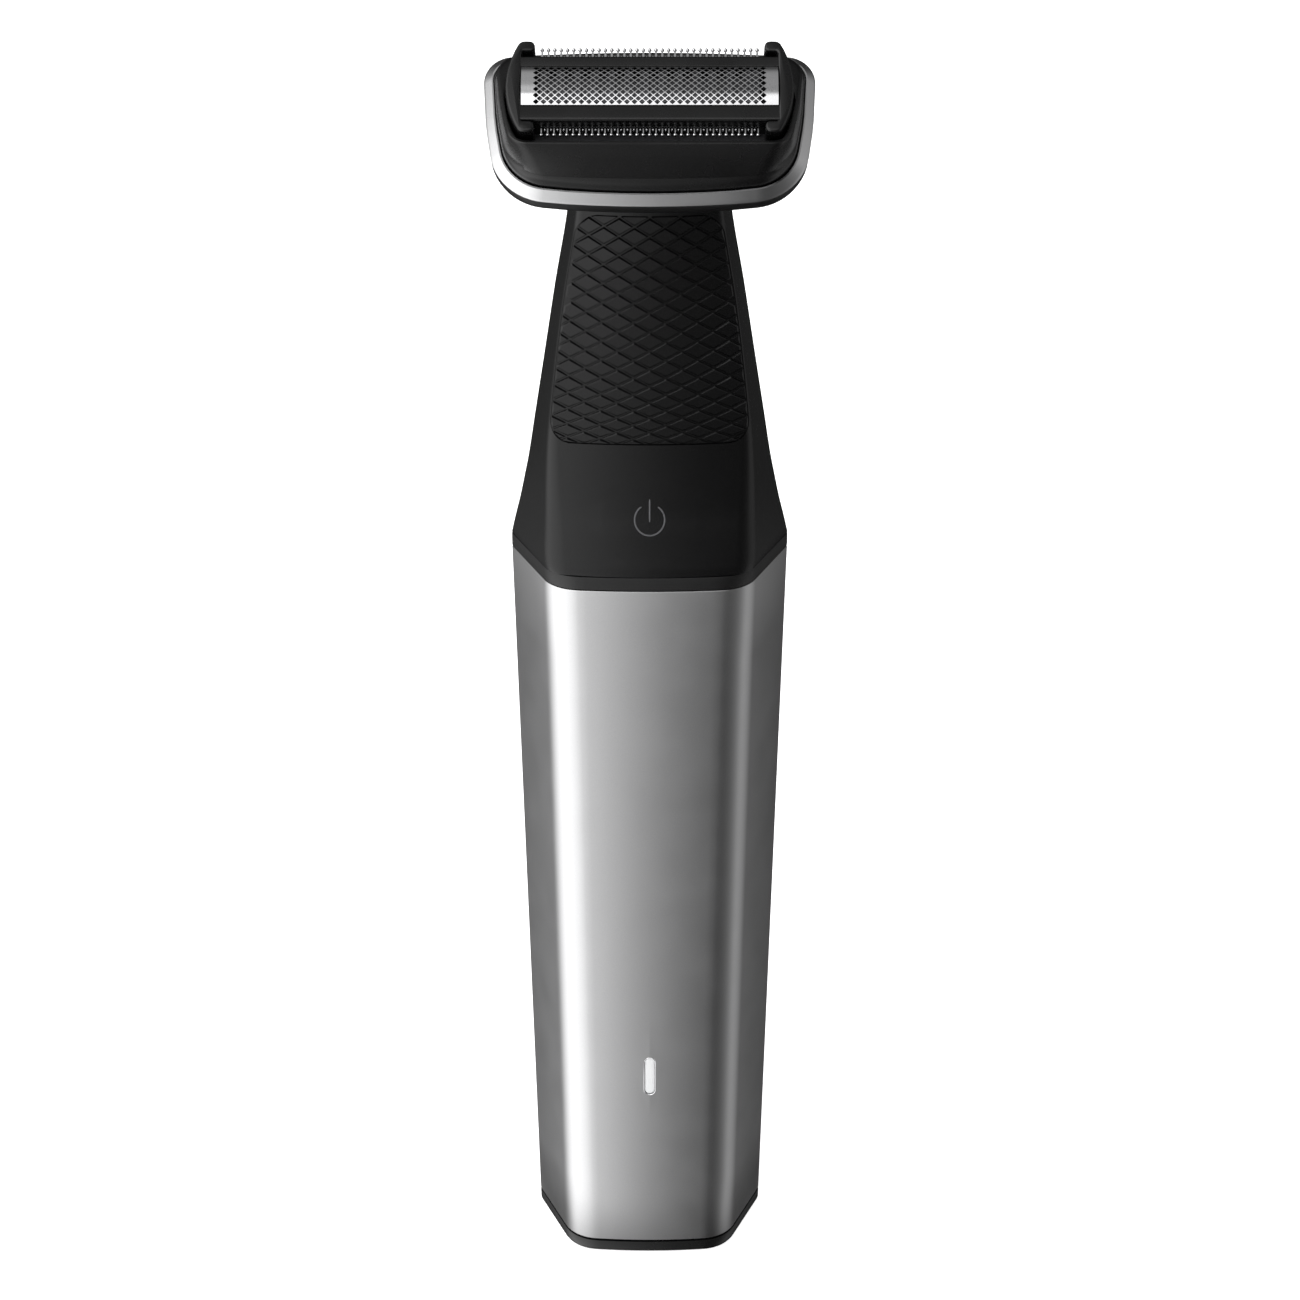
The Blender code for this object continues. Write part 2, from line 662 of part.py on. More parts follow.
# Status light: lens, light pipe and LED
lens_front = -SEAM_HALF_DEPTH * (BASE_TAPER + (1.0 - BASE_TAPER) * LIGHT_Z / SEAM_Z) + 0.02
lens = capsule_outline(LIGHT_HALF_WIDTH, LIGHT_HALF_HEIGHT, (0.0, LIGHT_Z))
add_mesh("status_lens", *prism_y(lens, lens_front, lens_front + LENS_THICKNESS), light_lens)
pipe_half_width = 0.75
pipe_half_height = 3.2
pipe_front = lens_front + LENS_THICKNESS + GAP
add_mesh("light_pipe", *box((-pipe_half_width, pipe_front, LIGHT_Z - pipe_half_height),
                            (pipe_half_width, PIPE_BACK_Y, LIGHT_Z + pipe_half_height)), light_lens)
led_half_width = 1.0
led_half_height = 1.6
add_mesh("status_led", *box((-led_half_width, PIPE_BACK_Y + GAP, LIGHT_Z - led_half_height),
                            (led_half_width, BOARD_FRONT_Y - 0.2, LIGHT_Z + led_half_height)),
         light_lens)

# Collar between the sleeve and the neck
add_mesh("collar_ring", *loft([
    ring_at(COLLAR_BOTTOM_Z, 0.05), ring_at(COLLAR_TOP_Z, 0.15),
    ring_at(COLLAR_TOP_Z, COLLAR_WALL), ring_at(COLLAR_BOTTOM_Z, COLLAR_WALL)], wrap=True), matte_black)

# Neck covers, front and rear
for front, label in ((True, "neck_front_cover"), (False, "neck_rear_cover")):
    sections = []
    for outer, inner in zip(neck_loops(0.0), neck_loops(NECK_WALL)):
        sections.append(half_of(outer, front) + half_of(inner, front)[::-1])
    cover = add_mesh(label, *loft(sections), matte_black)
    if front:
        cut(cover, loft(pad_loops(0.2, 3.0, PAD_THICKNESS + 0.2)))
        cut(cover, cylinder(BUTTON_RADIUS + GAP, -6.0, 4.0, 32), (0.0, BUTTON_Y, BUTTON_Z),
            (math.pi / 2.0 - BUTTON_TILT, 0.0, 0.0))
add_mesh("grip_pad", *loft(pad_loops(0.0, 0.0, PAD_THICKNESS)), soft_rubber)
add_mesh("neck_gasket", *loft([
    neck_ring_on_plane(NECK_TOP_N + 0.12, 0.4), neck_ring_on_plane(NECK_TOP_N + 0.5, 0.4),
    neck_ring_on_plane(NECK_TOP_N + 0.5, 1.5), neck_ring_on_plane(NECK_TOP_N + 0.12, 1.5)], wrap=True),
    soft_rubber)

# Power button
add_mesh("power_button", *cylinder(BUTTON_RADIUS, -BUTTON_THICKNESS, 0.0, 32), soft_rubber,
         (0.0, BUTTON_Y, BUTTON_Z), (math.pi / 2.0 - BUTTON_TILT, 0.0, 0.0))
add_mesh("tact_switch", *box((-SWITCH_HALF_WIDTH, SWITCH_FRONT_Y, BUTTON_Z - 2.9),
                             (SWITCH_HALF_WIDTH, BOARD_FRONT_Y - 0.2, BUTTON_Z + 1.1)), nickel)

# Chassis, cells, straps and board
spine = ((-11.0, CHASSIS_BACK_Y), (-11.0, CHASSIS_FRONT_Y), (-0.25, CHASSIS_FRONT_Y), (-0.25, -4.5),
         (0.25, -4.5), (0.25, CHASSIS_FRONT_Y), (11.0, CHASSIS_FRONT_Y), (11.0, CHASSIS_BACK_Y))
chassis = add_mesh("chassis", *prism_z(spine, 9.0, 118.0), frame_grey)
cut(chassis, box((-1.0, -6.0, 8.0), (1.0, 9.0, 17.6)))
cut(chassis, box((-1.0, -6.0, 69.0), (1.0, 9.0, 119.0)))
for side, label in ((-1.0, "left"), (1.0, "right")):
    middle = (side * CELL_X, CELL_Y)
    top = CELL_BOTTOM_Z + CELL_LENGTH
    add_mesh("battery_cell_" + label,
             *cylinder(CELL_RADIUS, CELL_BOTTOM_Z, top, 28, middle), cell_wrap)
    tab_z = top + GAP
    add_mesh("battery_tab_" + label, *box(
        (side * CELL_X - STRAP_HALF_WIDTH, CELL_Y - STRAP_HALF_WIDTH, tab_z),
        (side * CELL_X + STRAP_HALF_WIDTH, CELL_Y + STRAP_HALF_WIDTH, tab_z + STRAP_THICKNESS)), nickel)
link_z = CELL_BOTTOM_Z - 1.0
link_half_width = CELL_X + 3.4
add_mesh("battery_link", *box(
    (-link_half_width, CELL_Y - STRAP_HALF_WIDTH, link_z),
    (link_half_width, CELL_Y + STRAP_HALF_WIDTH, link_z + STRAP_THICKNESS)), nickel)
add_mesh("circuit_board", *box((-BOARD_HALF_WIDTH, BOARD_FRONT_Y, BOARD_BOTTOM_Z),
                               (BOARD_HALF_WIDTH, BOARD_BACK_Y, BOARD_TOP_Z)), board_green)

# Motor on its bracket
drive = (0.0, DRIVE_Y)
add_mesh("motor_can", *cylinder(MOTOR_RADIUS, MOTOR_BOTTOM_Z, MOTOR_TOP_Z, 32, drive), bright_metal)
add_mesh("motor_end_cap", *cylinder(
    MOTOR_RADIUS - 0.2, MOTOR_BOTTOM_Z - 2.5, MOTOR_BOTTOM_Z - 0.2, 32, drive), frame_grey)
bracket_low, bracket_high = MOTOR_TOP_Z + 0.3, MOTOR_TOP_Z + 1.5
bracket = add_mesh("motor_bracket", *box((-9.0, -4.2, bracket_low), (9.0, 6.6, bracket_high)), frame_grey)
cut(bracket, cylinder(2.4, bracket_low - 1.0, bracket_high + 1.0, 20, drive))
for side, label in ((-1.0, "left"), (1.0, "right")):
    middle = (side * 4.2, DRIVE_Y)
    cut(bracket, cylinder(1.0, bracket_low - 1.0, bracket_high + 1.0, 16, middle))
    shank = circle(0.75, 16, middle)
    head = circle(1.4, 16, middle)
    add_mesh("motor_screw_" + label, *loft([
        [(x, y, MOTOR_TOP_Z + 0.15) for x, y in shank],
        [(x, y, bracket_high + 0.15) for x, y in shank],
        [(x, y, bracket_high + 0.15) for x, y in head],
        [(x, y, bracket_high + 0.9) for x, y in head]]), nickel)
    add_mesh("bridge_guide_" + label, *box(
        (side * GUIDE_X - 0.5, -3.0, bracket_high + 0.1),
        (side * GUIDE_X + 0.5, 5.0, BRIDGE_TOP_Z + 0.4)), nickel)

# Rotor: shaft and eccentric, both centred on the spin axis
rotor = (0.0, DRIVE_Y, CAM_BOTTOM_Z)
add_mesh("motor_shaft", *cylinder(SHAFT_RADIUS, MOTOR_TOP_Z + 0.15 - CAM_BOTTOM_Z, 1.5, 16),
         bright_metal, rotor)
bore = circle(SHAFT_RADIUS + 0.1, 24)
rim = circle(CAM_RADIUS, 24)
pin = circle(CAM_PIN_RADIUS, 24, (0.0, -ECCENTRICITY))
cam_height = CAM_TOP_Z - CAM_BOTTOM_Z
add_mesh("eccentric_cam", *loft([
    [(x, y, 1.6) for x, y in bore], [(x, y, 0.0) for x, y in bore], [(x, y, 0.0) for x, y in rim],
    [(x, y, cam_height) for x, y in rim], [(x, y, cam_height) for x, y in pin],
    [(x, y, CAM_PIN_TOP_Z - CAM_BOTTOM_Z) for x, y in pin]]), brass, rotor)

# Drive bridge and the lever that reaches up into the head
bridge_origin = (0.0, DRIVE_Y, BRIDGE_TOP_Z)
bridge_height = BRIDGE_TOP_Z - BRIDGE_BOTTOM_Z
bridge = add_mesh("drive_bridge", *box(
    (-BRIDGE_HALF_WIDTH, -BRIDGE_HALF_DEPTH, -bridge_height),
    (BRIDGE_HALF_WIDTH, BRIDGE_HALF_DEPTH, 0.0)), frame_grey, bridge_origin)
cut(bridge, box((-BRIDGE_SLOT_HALF_WIDTH, DRIVE_Y - BRIDGE_SLOT_HALF_DEPTH, 160.0),
                (BRIDGE_SLOT_HALF_WIDTH, DRIVE_Y + BRIDGE_SLOT_HALF_DEPTH, 175.0)))
corners = [head_point(0.0, LEVER_HALF_DEPTH, -17.4), head_point(0.0, LEVER_HALF_DEPTH, LEVER_TIP_N),
           head_point(0.0, -LEVER_HALF_DEPTH, LEVER_TIP_N), head_point(0.0, -LEVER_HALF_DEPTH, -17.2)]
lever = [(-1.6, 169.1), (4.9, 169.1), (4.9, 177.2)]
lever += [(y, z) for _, y, z in corners]
lever += [(2.4, 176.2), (2.4, 170.8), (-1.6, 170.8)]
lever = [(y - bridge_origin[1], z - bridge_origin[2]) for y, z in lever]
add_mesh("drive_lever", *prism_x(lever, -LEVER_HALF_WIDTH, LEVER_HALF_WIDTH), frame_grey, bridge_origin)

# Head shells, in head coordinates
lever_passage = box((-PASSAGE_HALF_WIDTH, -PASSAGE_HALF_DEPTH, -16.0),
                    (PASSAGE_HALF_WIDTH, PASSAGE_HALF_DEPTH, -8.0))
lower = head_place("head_lower_shell", loft([head_ring(*step) for step in LOWER_SHELL_SECTION]),
                   matte_black)
head_cut(lower, lever_passage)
head_place("head_trim_ring", loft([head_ring(*step) for step in TRIM_RING_SECTION], wrap=True),
           satin_silver)
rim = head_outline(RIM_INSET, RIM_HALF_DEPTH, -RIM_HALF_DEPTH, 0.1, 1.4, 1.6)
shoulder = head_outline(SHOULDER_INSET, RIM_HALF_DEPTH + 0.7, -RIM_HALF_DEPTH - 0.75, 0.75, 2.8, 4.5)
upper = head_place("head_upper_shell", loft([
    head_ring(DOME_INSET, DOME_BOTTOM_N), head_ring(DOME_INSET, -8.3),
    [(x, u, SHOULDER_N) for x, u in shoulder],
    [(x, u, RIM_N - RIM_SLOPE * (u + RIM_HALF_DEPTH)) for x, u in rim]]), gloss_black)
head_cut(upper, prism_z(recess_outline(), -20.0, 10.0))

# Pivot bracket fixed in the lower shell
arm_x = BRACKET_HALF_WIDTH - BRACKET_WALL
foot_n = BRACKET_BOTTOM_N + 1.0
arch = ((-BRACKET_HALF_WIDTH, BRACKET_BOTTOM_N), (BRACKET_HALF_WIDTH, BRACKET_BOTTOM_N),
        (BRACKET_HALF_WIDTH, BRACKET_TOP_N), (arm_x, BRACKET_TOP_N), (arm_x, foot_n),
        (-arm_x, foot_n), (-arm_x, BRACKET_TOP_N), (-BRACKET_HALF_WIDTH, BRACKET_TOP_N))
pivot = head_place("pivot_bracket", prism_y(arch, -BRACKET_HALF_DEPTH, BRACKET_HALF_DEPTH), frame_grey)
head_cut(pivot, lever_passage)
head_cut(pivot, cylinder_x(PIVOT_PIN_RADIUS + 0.1, -25.0, 25.0, 0.0, PIVOT_N))
boot = head_place("drive_boot", box((-BOOT_HALF_WIDTH, -BOOT_HALF_DEPTH, -12.3),
                                    (BOOT_HALF_WIDTH, BOOT_HALF_DEPTH, -7.4)), soft_rubber)
head_cut(boot, box((-BOOT_BORE_HALF_WIDTH, -BOOT_BORE_HALF_DEPTH, -16.0),
                   (BOOT_BORE_HALF_WIDTH, BOOT_BORE_HALF_DEPTH, -6.0)))

# Carrier that pitches on two pins
pitch = (0.0, 0.0, PIVOT_N)
carrier = head_place("shaver_carrier", box(
    (-CARRIER_HALF_WIDTH, -CARRIER_HALF_DEPTH, CARRIER_BOTTOM_N),
    (CARRIER_HALF_WIDTH, CARRIER_HALF_DEPTH, CARRIER_TOP_N)), frame_grey, pitch)
head_cut(carrier, box((-CARRIER_OPENING_HALF_WIDTH, -CARRIER_OPENING_HALF_DEPTH, -9.0),
                      (CARRIER_OPENING_HALF_WIDTH, CARRIER_OPENING_HALF_DEPTH, 0.0)))
for side, label in ((-1.0, "left"), (1.0, "right")):
    inner, outer = sorted((side * PIN_INNER_X, side * PIN_OUTER_X))
    low, high = sorted((side * (PIN_INNER_X - 0.2), side * (PIN_OUTER_X + 2.0)))
    head_cut(carrier, cylinder_x(PIVOT_PIN_RADIUS + 0.05, low, high, 0.0, PIVOT_N))
    head_place("pivot_pin_" + label,
               cylinder_x(PIVOT_PIN_RADIUS, inner, outer, 0.0, PIVOT_N), nickel, pitch)

# Cassette: frame, end caps, bars, foil and trimmer combs
lift = (0.0, 0.0, CASSETTE_BOTTOM_N)
frame = head_place("cassette_frame", box(
    (-FOIL_HALF_LENGTH, -4.5, CASSETTE_BOTTOM_N), (FOIL_HALF_LENGTH, 4.5, -0.95)), gloss_black, lift)
head_cut(frame, box((-15.6, -3.6, -5.0), (15.6, 3.6, 0.0)))
for side, label in ((-1.0, "left"), (1.0, "right")):
    head_place("end_cap_" + label, end_cap_solid(side), gloss_black, lift)
for side, label in ((-1.0, "front"), (1.0, "rear")):
    front = side < 0.0
    outer_u = BAR_FRONT_OUTER_U if front else BAR_REAR_OUTER_U
    bar = ((side * BAR_INNER_U, BAR_BOTTOM_N), (side * (outer_u + 0.1), BAR_BOTTOM_N),
           (side * outer_u, 1.3), (side * (outer_u - 0.4), BAR_TOP_N), (side * BAR_INNER_U, BAR_TOP_N))
    head_place("foil_bar_" + label, prism_x(bar, -FOIL_HALF_LENGTH, FOIL_HALF_LENGTH), gloss_black, lift)
    tip_u = COMB_FRONT_TIP_U if front else COMB_REAR_TIP_U
    comb = comb_outline(side, COMB_ROOT_U, COMB_GULLET_U, tip_u, COMB_HALF_LENGTH, COMB_TEETH)
    head_place(label + "_trimmer_comb", prism_z(comb, COMB_BOTTOM_N, COMB_TOP_N), bright_metal, lift)
    blade = comb_outline(side, BLADE_ROOT_U, COMB_GULLET_U, BLADE_TIP_U, BLADE_HALF_LENGTH,
                         BLADE_TEETH)
    head_place(label + "_trimmer_blade", prism_z(blade, BLADE_BOTTOM_N, BLADE_TOP_N), bright_metal,
               (0.0, side * COMB_GULLET_U, BLADE_BOTTOM_N))
head_place("foil", prism_x(foil_profile(), -FOIL_HALF_LENGTH, FOIL_HALF_LENGTH), bright_metal, lift)

# Inner cutter: an arched block with fins and a slot for the lever
sections = []
fin_pitch = 2.0 * CUTTER_HALF_LENGTH / CUTTER_FINS
for fin in range(CUTTER_FINS):
    start = -CUTTER_HALF_LENGTH + fin * fin_pitch
    thick = fin_pitch * 0.45 if fin < CUTTER_FINS - 1 else fin_pitch
    sections.append(cutter_section(CUTTER_RADIUS, start))
    sections.append(cutter_section(CUTTER_RADIUS, start + thick))
    if fin < CUTTER_FINS - 1:
        sections.append(cutter_section(CUTTER_RADIUS - CUTTER_FIN_DEPTH, start + thick))
        sections.append(cutter_section(CUTTER_RADIUS - CUTTER_FIN_DEPTH, start + fin_pitch))
cutter_block = head_place("inner_cutter", loft(sections), bright_metal, (0.0, 0.0, CUTTER_BOTTOM_N))
head_cut(cutter_block, box((-LEVER_HALF_WIDTH - 0.2, -8.0, -6.0), (LEVER_HALF_WIDTH + 0.2, 8.0, -1.2)))
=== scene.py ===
"""Looks of the body groomer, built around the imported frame.

Lengths are in millimetres and are scaled to metres when a mesh is made.  The
head is modelled in head coordinates: x to the right, u up and back along the
shaving face, n out of it.
"""
import math

import bmesh
import bpy
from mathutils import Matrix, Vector


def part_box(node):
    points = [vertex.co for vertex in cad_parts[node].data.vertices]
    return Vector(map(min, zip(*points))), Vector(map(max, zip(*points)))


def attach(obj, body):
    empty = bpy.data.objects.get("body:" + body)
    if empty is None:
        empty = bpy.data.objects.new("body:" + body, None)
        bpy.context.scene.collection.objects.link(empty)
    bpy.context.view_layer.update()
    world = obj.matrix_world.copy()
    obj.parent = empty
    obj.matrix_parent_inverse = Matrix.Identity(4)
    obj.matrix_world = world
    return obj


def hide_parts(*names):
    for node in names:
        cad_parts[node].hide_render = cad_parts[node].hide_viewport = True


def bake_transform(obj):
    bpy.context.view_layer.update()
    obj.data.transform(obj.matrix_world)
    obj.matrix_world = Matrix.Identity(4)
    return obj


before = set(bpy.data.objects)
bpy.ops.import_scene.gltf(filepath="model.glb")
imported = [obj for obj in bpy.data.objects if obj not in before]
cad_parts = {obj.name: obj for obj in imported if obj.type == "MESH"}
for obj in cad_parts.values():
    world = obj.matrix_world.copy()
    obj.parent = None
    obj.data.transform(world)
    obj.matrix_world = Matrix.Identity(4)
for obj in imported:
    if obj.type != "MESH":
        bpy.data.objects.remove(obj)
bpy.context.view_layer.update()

MM = 0.001


def box_mm(node):
    """Lowest and highest corner of a CAD node in millimetres."""
    low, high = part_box(node)
    return low / MM, high / MM


def circle_angles(count):
    """Evenly spread angles of one full turn."""
    return [2.0 * math.pi * k / count for k in range(count)]


def rectangle(half_width, half_depth):
    """Corners of a rectangle around the origin, anticlockwise."""
    return [(x * half_width, y * half_depth) for x, y in ((1, 1), (-1, 1), (-1, -1), (1, -1))]


# Profiles named _EDGE are (rise, draw) pairs, and the draw is inwards from the wall

# Handle sleeve: a rounded hexagon that tapers to the base
SLEEVE_LOW, SLEEVE_HIGH = box_mm("body_sleeve")
SLEEVE_BOTTOM_Z = SLEEVE_LOW.z
SEAM_Z = SLEEVE_HIGH.z
SEAM_HALF_WIDTH = SLEEVE_HIGH.x
SEAM_HALF_DEPTH = SLEEVE_HIGH.y
SEAM_CORNER_X = 13.6
BASE_TAPER = 0.90
FACE_BULGE = 0.8
CORNER_RADIUS = 6.0
LEAST_CORNER_RADIUS = 0.6
RIDGE_RADIUS = 1.5
SLEEVE_WALL = 1.2
SLEEVE_EDGE = ((0.0, 0.22), (0.07, 0.07), (0.22, 0.0))
SLEEVE_LEVELS = 10
RIDGE_STEPS = 4
CORNER_STEPS = 10
FACE_SHARES = (0.66, 0.44, 0.22, 0.0, -0.22, -0.44, -0.66)

# Base cap
BASE_TOP_Z = SLEEVE_BOTTOM_Z - 0.3
BASE_INNER_TOP_Z = box_mm("base_cap")[1].z
BASE_INNER_INSET = 2.3
BASE_EDGE = ((0.0, 0.75), (0.06, 0.45), (0.22, 0.2), (0.5, 0.04), (0.8, 0.0))
BASE_TOP_EDGE = ((-0.12, 0.0), (-0.03, 0.04), (0.0, 0.12))
SOCKET_HIGH = box_mm("charge_socket")[1]
SOCKET_GAP = 0.15
SOCKET_CORNER_RADIUS = 0.2
SOCKET_CORNER_STEPS = 3
SOCKET_CUT_Z = (-2.0, 12.0)

# Status light: the lens and rim sections are (outwards, back) from the front of the lens
LENS_LOW, LENS_HIGH = box_mm("status_lens")
LIGHT_Z = (LENS_LOW.z + LENS_HIGH.z) / 2.0
LIGHT_HALF_WIDTH = LENS_HIGH.x
LIGHT_HALF_HEIGHT = (LENS_HIGH.z - LENS_LOW.z) / 2.0
LIGHT_WINDOW_GAP = 0.11
LIGHT_CUT_Y = (-20.0, -10.0)
LENS_SECTION = ((-0.55, 0.12), (-0.3, 0.14), (-0.12, 0.2), (-0.02, 0.34), (0.0, 0.54), (0.0, 1.54))
LIGHT_RIM_SECTION = ((0.1, 0.9), (0.1, 0.02), (0.05, -0.02), (0.0, 0.02), (0.0, 0.9))

# Collar, and neck rows of height, half width, front, rear, corner inset and corner radius
COLLAR_BOTTOM_Z = box_mm("collar_ring")[0].z
COLLAR_TOP_Z = box_mm("collar_ring")[1].z
COLLAR_WALL = 2.6
COLLAR_BOTTOM_EDGE = ((-0.2, 0.1), (-0.17, 0.03), (-0.05, 0.0))
COLLAR_TOP_EDGE = ((-0.12, 0.03), (-0.03, 0.07), (0.0, 0.16))
NECK_PROFILE = (
    (122.7, 19.95, -15.2, 15.2, 6.0, 4.0),
    (125.1, 19.4, -14.4, 14.5, 5.2, 3.8),
    (128.3, 18.6, -13.4, 13.8, 4.4, 3.5),
    (131.4, 17.95, -12.4, 13.2, 3.7, 3.1),
    (134.6, 17.3, -11.6, 12.7, 3.0, 2.7),
    (140.8, 16.3, -10.4, 12.0, 2.2, 2.0),
    (150.0, 14.8, -8.9, 11.0, 1.6, 1.6),
    (160.0, 13.2, -7.6, 10.0, 1.3, 1.4),
    (173.3, 11.0, -6.8, 8.3, 1.2, 1.3),
    (192.0, 9.8, -6.0, 5.8, 1.3, 1.4),
)
NECK_BOTTOM_Z = NECK_PROFILE[0][0]
NECK_BOTTOM_EDGE = ((-0.24, 0.2), (-0.2, 0.07), (-0.08, 0.0))
NECK_PLAIN_BOTTOM_Z = NECK_BOTTOM_Z + 1.0
NECK_FLAT_TOP_Z = 168.0
NECK_LEVELS = 42
NECK_TOP_LEVELS = 6
NECK_TOP_PASSES = 12
NECK_WALL = 1.5
NECK_BULGE = 1.2
NECK_TOP_N = -13.05
NECK_HALF_GAP = 0.04

# Grip pad: diamonds raised between grooves
PAD_LOW, PAD_HIGH = box_mm("grip_pad")
PAD_SIDE_GAP = 0.12
PAD_CORNER_RADIUS = 3.0
PAD_THICKNESS = 0.7
PAD_GAP = 0.05
PAD_CUT_REACH = 3.0
PAD_CUT_DEPTH = PAD_THICKNESS + 0.1
PAD_CORNER_STEPS = 10
PAD_MIDDLE_STEPS = 16
PAD_ACROSS_STEPS = 16
PAD_END_LEVEL = 0.01
GROOVE_DEPTH = 0.32
GROOVE_WIDTH = 0.24
PAD_BORDER = 0.12
DIAMOND_TOP_Z = 172.34
DIAMOND_PITCH = 2.66
DIAMOND_CURVE = 0.066
DIAMOND_CURVE_START = 6.5
DIAMOND_HALF_WIDTH = 2.05
DIAMOND_WIDENING = 0.24
DIAMOND_ROWS = 15
DIAMOND_COLUMNS = 8
DIAMOND_LEAST_AREA = 0.25
DIAMOND_LEAST_SHARE = 0.2
DIAMOND_EDGE = ((-GROOVE_DEPTH - 0.12, 0.0), (-0.16, 0.0), (0.0, 0.2))

# Soft skin over the power button
BUTTON_Z = 130.3
SKIN_CENTER_RADIUS = 0.4
SKIN_INNER_RADIUS = 3.0
SKIN_OUTER_RADIUS = 6.6
SKIN_SECTORS = 12
SKIN_SECTOR_STEPS = 4
SKIN_SECTOR_TURN = 2.0 * math.pi / SKIN_SECTORS
SKIN_RINGS = 10
SKIN_SIDES = SKIN_SECTORS * SKIN_SECTOR_STEPS
SKIN_THICKNESS = 0.8
SKIN_DISC_SHARES = (0.4, 0.7, 1.0)
SKIN_CUT_Y = (-20.0, -6.0)
ICON_RADIUS = 2.1
ICON_GAP = math.radians(33.0)
ICON_RING_STEPS = 48
ICON_BAR_START = -0.3
ICON_BAR_LENGTH = 3.1
ICON_BAR_STEPS = 8
ICON_LINE = 0.13
ICON_LINE_END = 0.55
ICON_SINK = 0.03

# Head: its frame is the same as in the CAD
HEAD_ORIGIN = Vector((0.0, -8.75, 190.15))
HEAD_TILT = math.radians(45.0)
HEAD_FRONT_X = 20.4
HEAD_REAR_X = 22.6
HEAD_FRONT_U = -10.6
HEAD_REAR_U = 10.35
HEAD_FRONT_RADIUS = 8.0
HEAD_REAR_RADIUS = 4.0
HEAD_LEAST_RADIUS = 1.2
HEAD_FRONT_BULGE = 1.3
HEAD_REAR_BULGE = 0.2
HEAD_SIDE_BULGE = 0.45
RIM_HALF_DEPTH = 7.85
RIM_N = 0.9
RIM_SLOPE = 0.34
RECESS_HALF_WIDTH = 19.05
RECESS_HALF_DEPTH = 7.5
RECESS_CORNER_DROP = 2.05
BOW_MARGIN = 0.3
BOW_MARGIN_SHARE = 1.15
SIDE_STEPS = 6
LONG_STEPS = 8
HEAD_CORNER_STEPS = 12

# Dome of the head, from its foot over the shoulder to the rim: radii are (rear, front)
DOME_BOTTOM_N = -9.56
DOME_FOOT_N = -8.3
DOME_FOOT_INSET = 1.6
SHOULDER_N = -6.2
SHOULDER_INSET = 1.85
SHOULDER_REAR_U = RIM_HALF_DEPTH + 0.7
SHOULDER_FRONT_U = -RIM_HALF_DEPTH - 0.75
SHOULDER_BULGE = 0.75
SHOULDER_RADII = (3.6, 6.0)
RIM_INSET = 2.25
RIM_BULGE = 0.1
RIM_RADII = (3.0, 2.8)
RECESS_RADII = (1.4, 1.2)
FOOT_CURVE = ((0.1, 0.35), (0.35, 0.7), (0.7, 0.9))
WALL_SHARES = (0.2, 0.4, 0.6, 0.8)
RIM_EDGE = ((-0.45, 0.0), (-0.2, 0.06), (-0.05, 0.22), (0.0, 0.5))
RECESS_EDGE = ((0.0, -0.1), (-0.05, -0.03), (-0.2, 0.0))

# Silver ring and lower shell: sections of (inset, n)
TRIM_SECTION = ((1.4, -8.2), (1.2, -8.2), (0.32, -8.98), (0.14, -9.15), (0.04, -9.3), (0.05, -9.45),
                (0.16, DOME_BOTTOM_N), (1.4, DOME_BOTTOM_N))
LOWER_SECTION = ((3.2, -11.2), (1.9, -10.9), (1.75, -9.7), (0.3, -9.7), (0.14, -9.78), (0.08, -10.1),
                 (0.1, -11.0), (0.25, -11.6), (0.6, -12.08), (1.05, -12.32), (1.5, -12.4), (3.2, -12.4))
BOOT_SLOT_HALF_WIDTH = 4.4
BOOT_SLOT_HALF_DEPTH = 3.1
BOOT_SLOT_CUT_N = (-16.0, -8.0)

# Shaving cassette
CAP_HALF_WIDTH = 18.8
CAP_HALF_DEPTH = 6.55
CAP_CORNER_DROP = 1.85
CAP_INNER_X = 16.75
EAR_INNER_X = 15.0
EAR_INNER_U = 5.05
EAR_RADII = (1.0, 0.72, 0.6, 0.35)
EAR_STEPS = (6, 6, 6, 4)
CASSETTE_BOTTOM_N = -2.9
CAP_TOP_N = 1.9
CAP_SIDE_STEPS = 10
CAP_EDGE = ((-0.4, 0.0), (-0.22, 0.03), (-0.09, 0.1), (-0.02, 0.2), (0.0, 0.3))
FOIL_RADIUS = 6.0
FOIL_EDGE_U = 2.78
FOIL_EDGE_N = 1.8
FOIL_HALF_ANGLE = math.asin(FOIL_EDGE_U / FOIL_RADIUS)
FOIL_CENTER_N = FOIL_EDGE_N - FOIL_RADIUS * math.cos(FOIL_HALF_ANGLE)
FOIL_THICKNESS = 0.15
FOIL_HALF_LENGTH = 16.72
BAR_HALF_LENGTH = 17.2
HOLE_PITCH_X = 0.985
HOLE_COLUMNS = 31
HOLE_ROWS = 13
HOLE_SIZE = 0.80
HOLE_TIP = 0.95
HOLE_LEAN = 0.10
BAR_INNER_U = 2.88
BAR_FRONT_OUTER_U = 4.85
BAR_REAR_OUTER_U = 4.42
BAR_FRONT_FOOT = 0.35
BAR_BOTTOM_N = 0.3
BAR_TOP_N = 1.75
BAR_RADII = (0.1, 0.1, 0.4, 0.1)
BAR_STEPS = (2, 3, 8, 3)
TOOTH_PITCH = 0.83
COMB_TEETH = 35
BLADE_TEETH = 34
FRONT_TOOTH_WIDTH = 0.17
REAR_TOOTH_WIDTH = 0.27
TOOTH_FOOT_SHARE = 0.62
TOOTH_TIP_SHARE = 0.36
COMB_ROOT_U = 3.0
COMB_GULLET_U = 4.75
COMB_FRONT_TIP_U = 6.12
COMB_REAR_TIP_U = 6.2
COMB_BOTTOM_N = -0.25
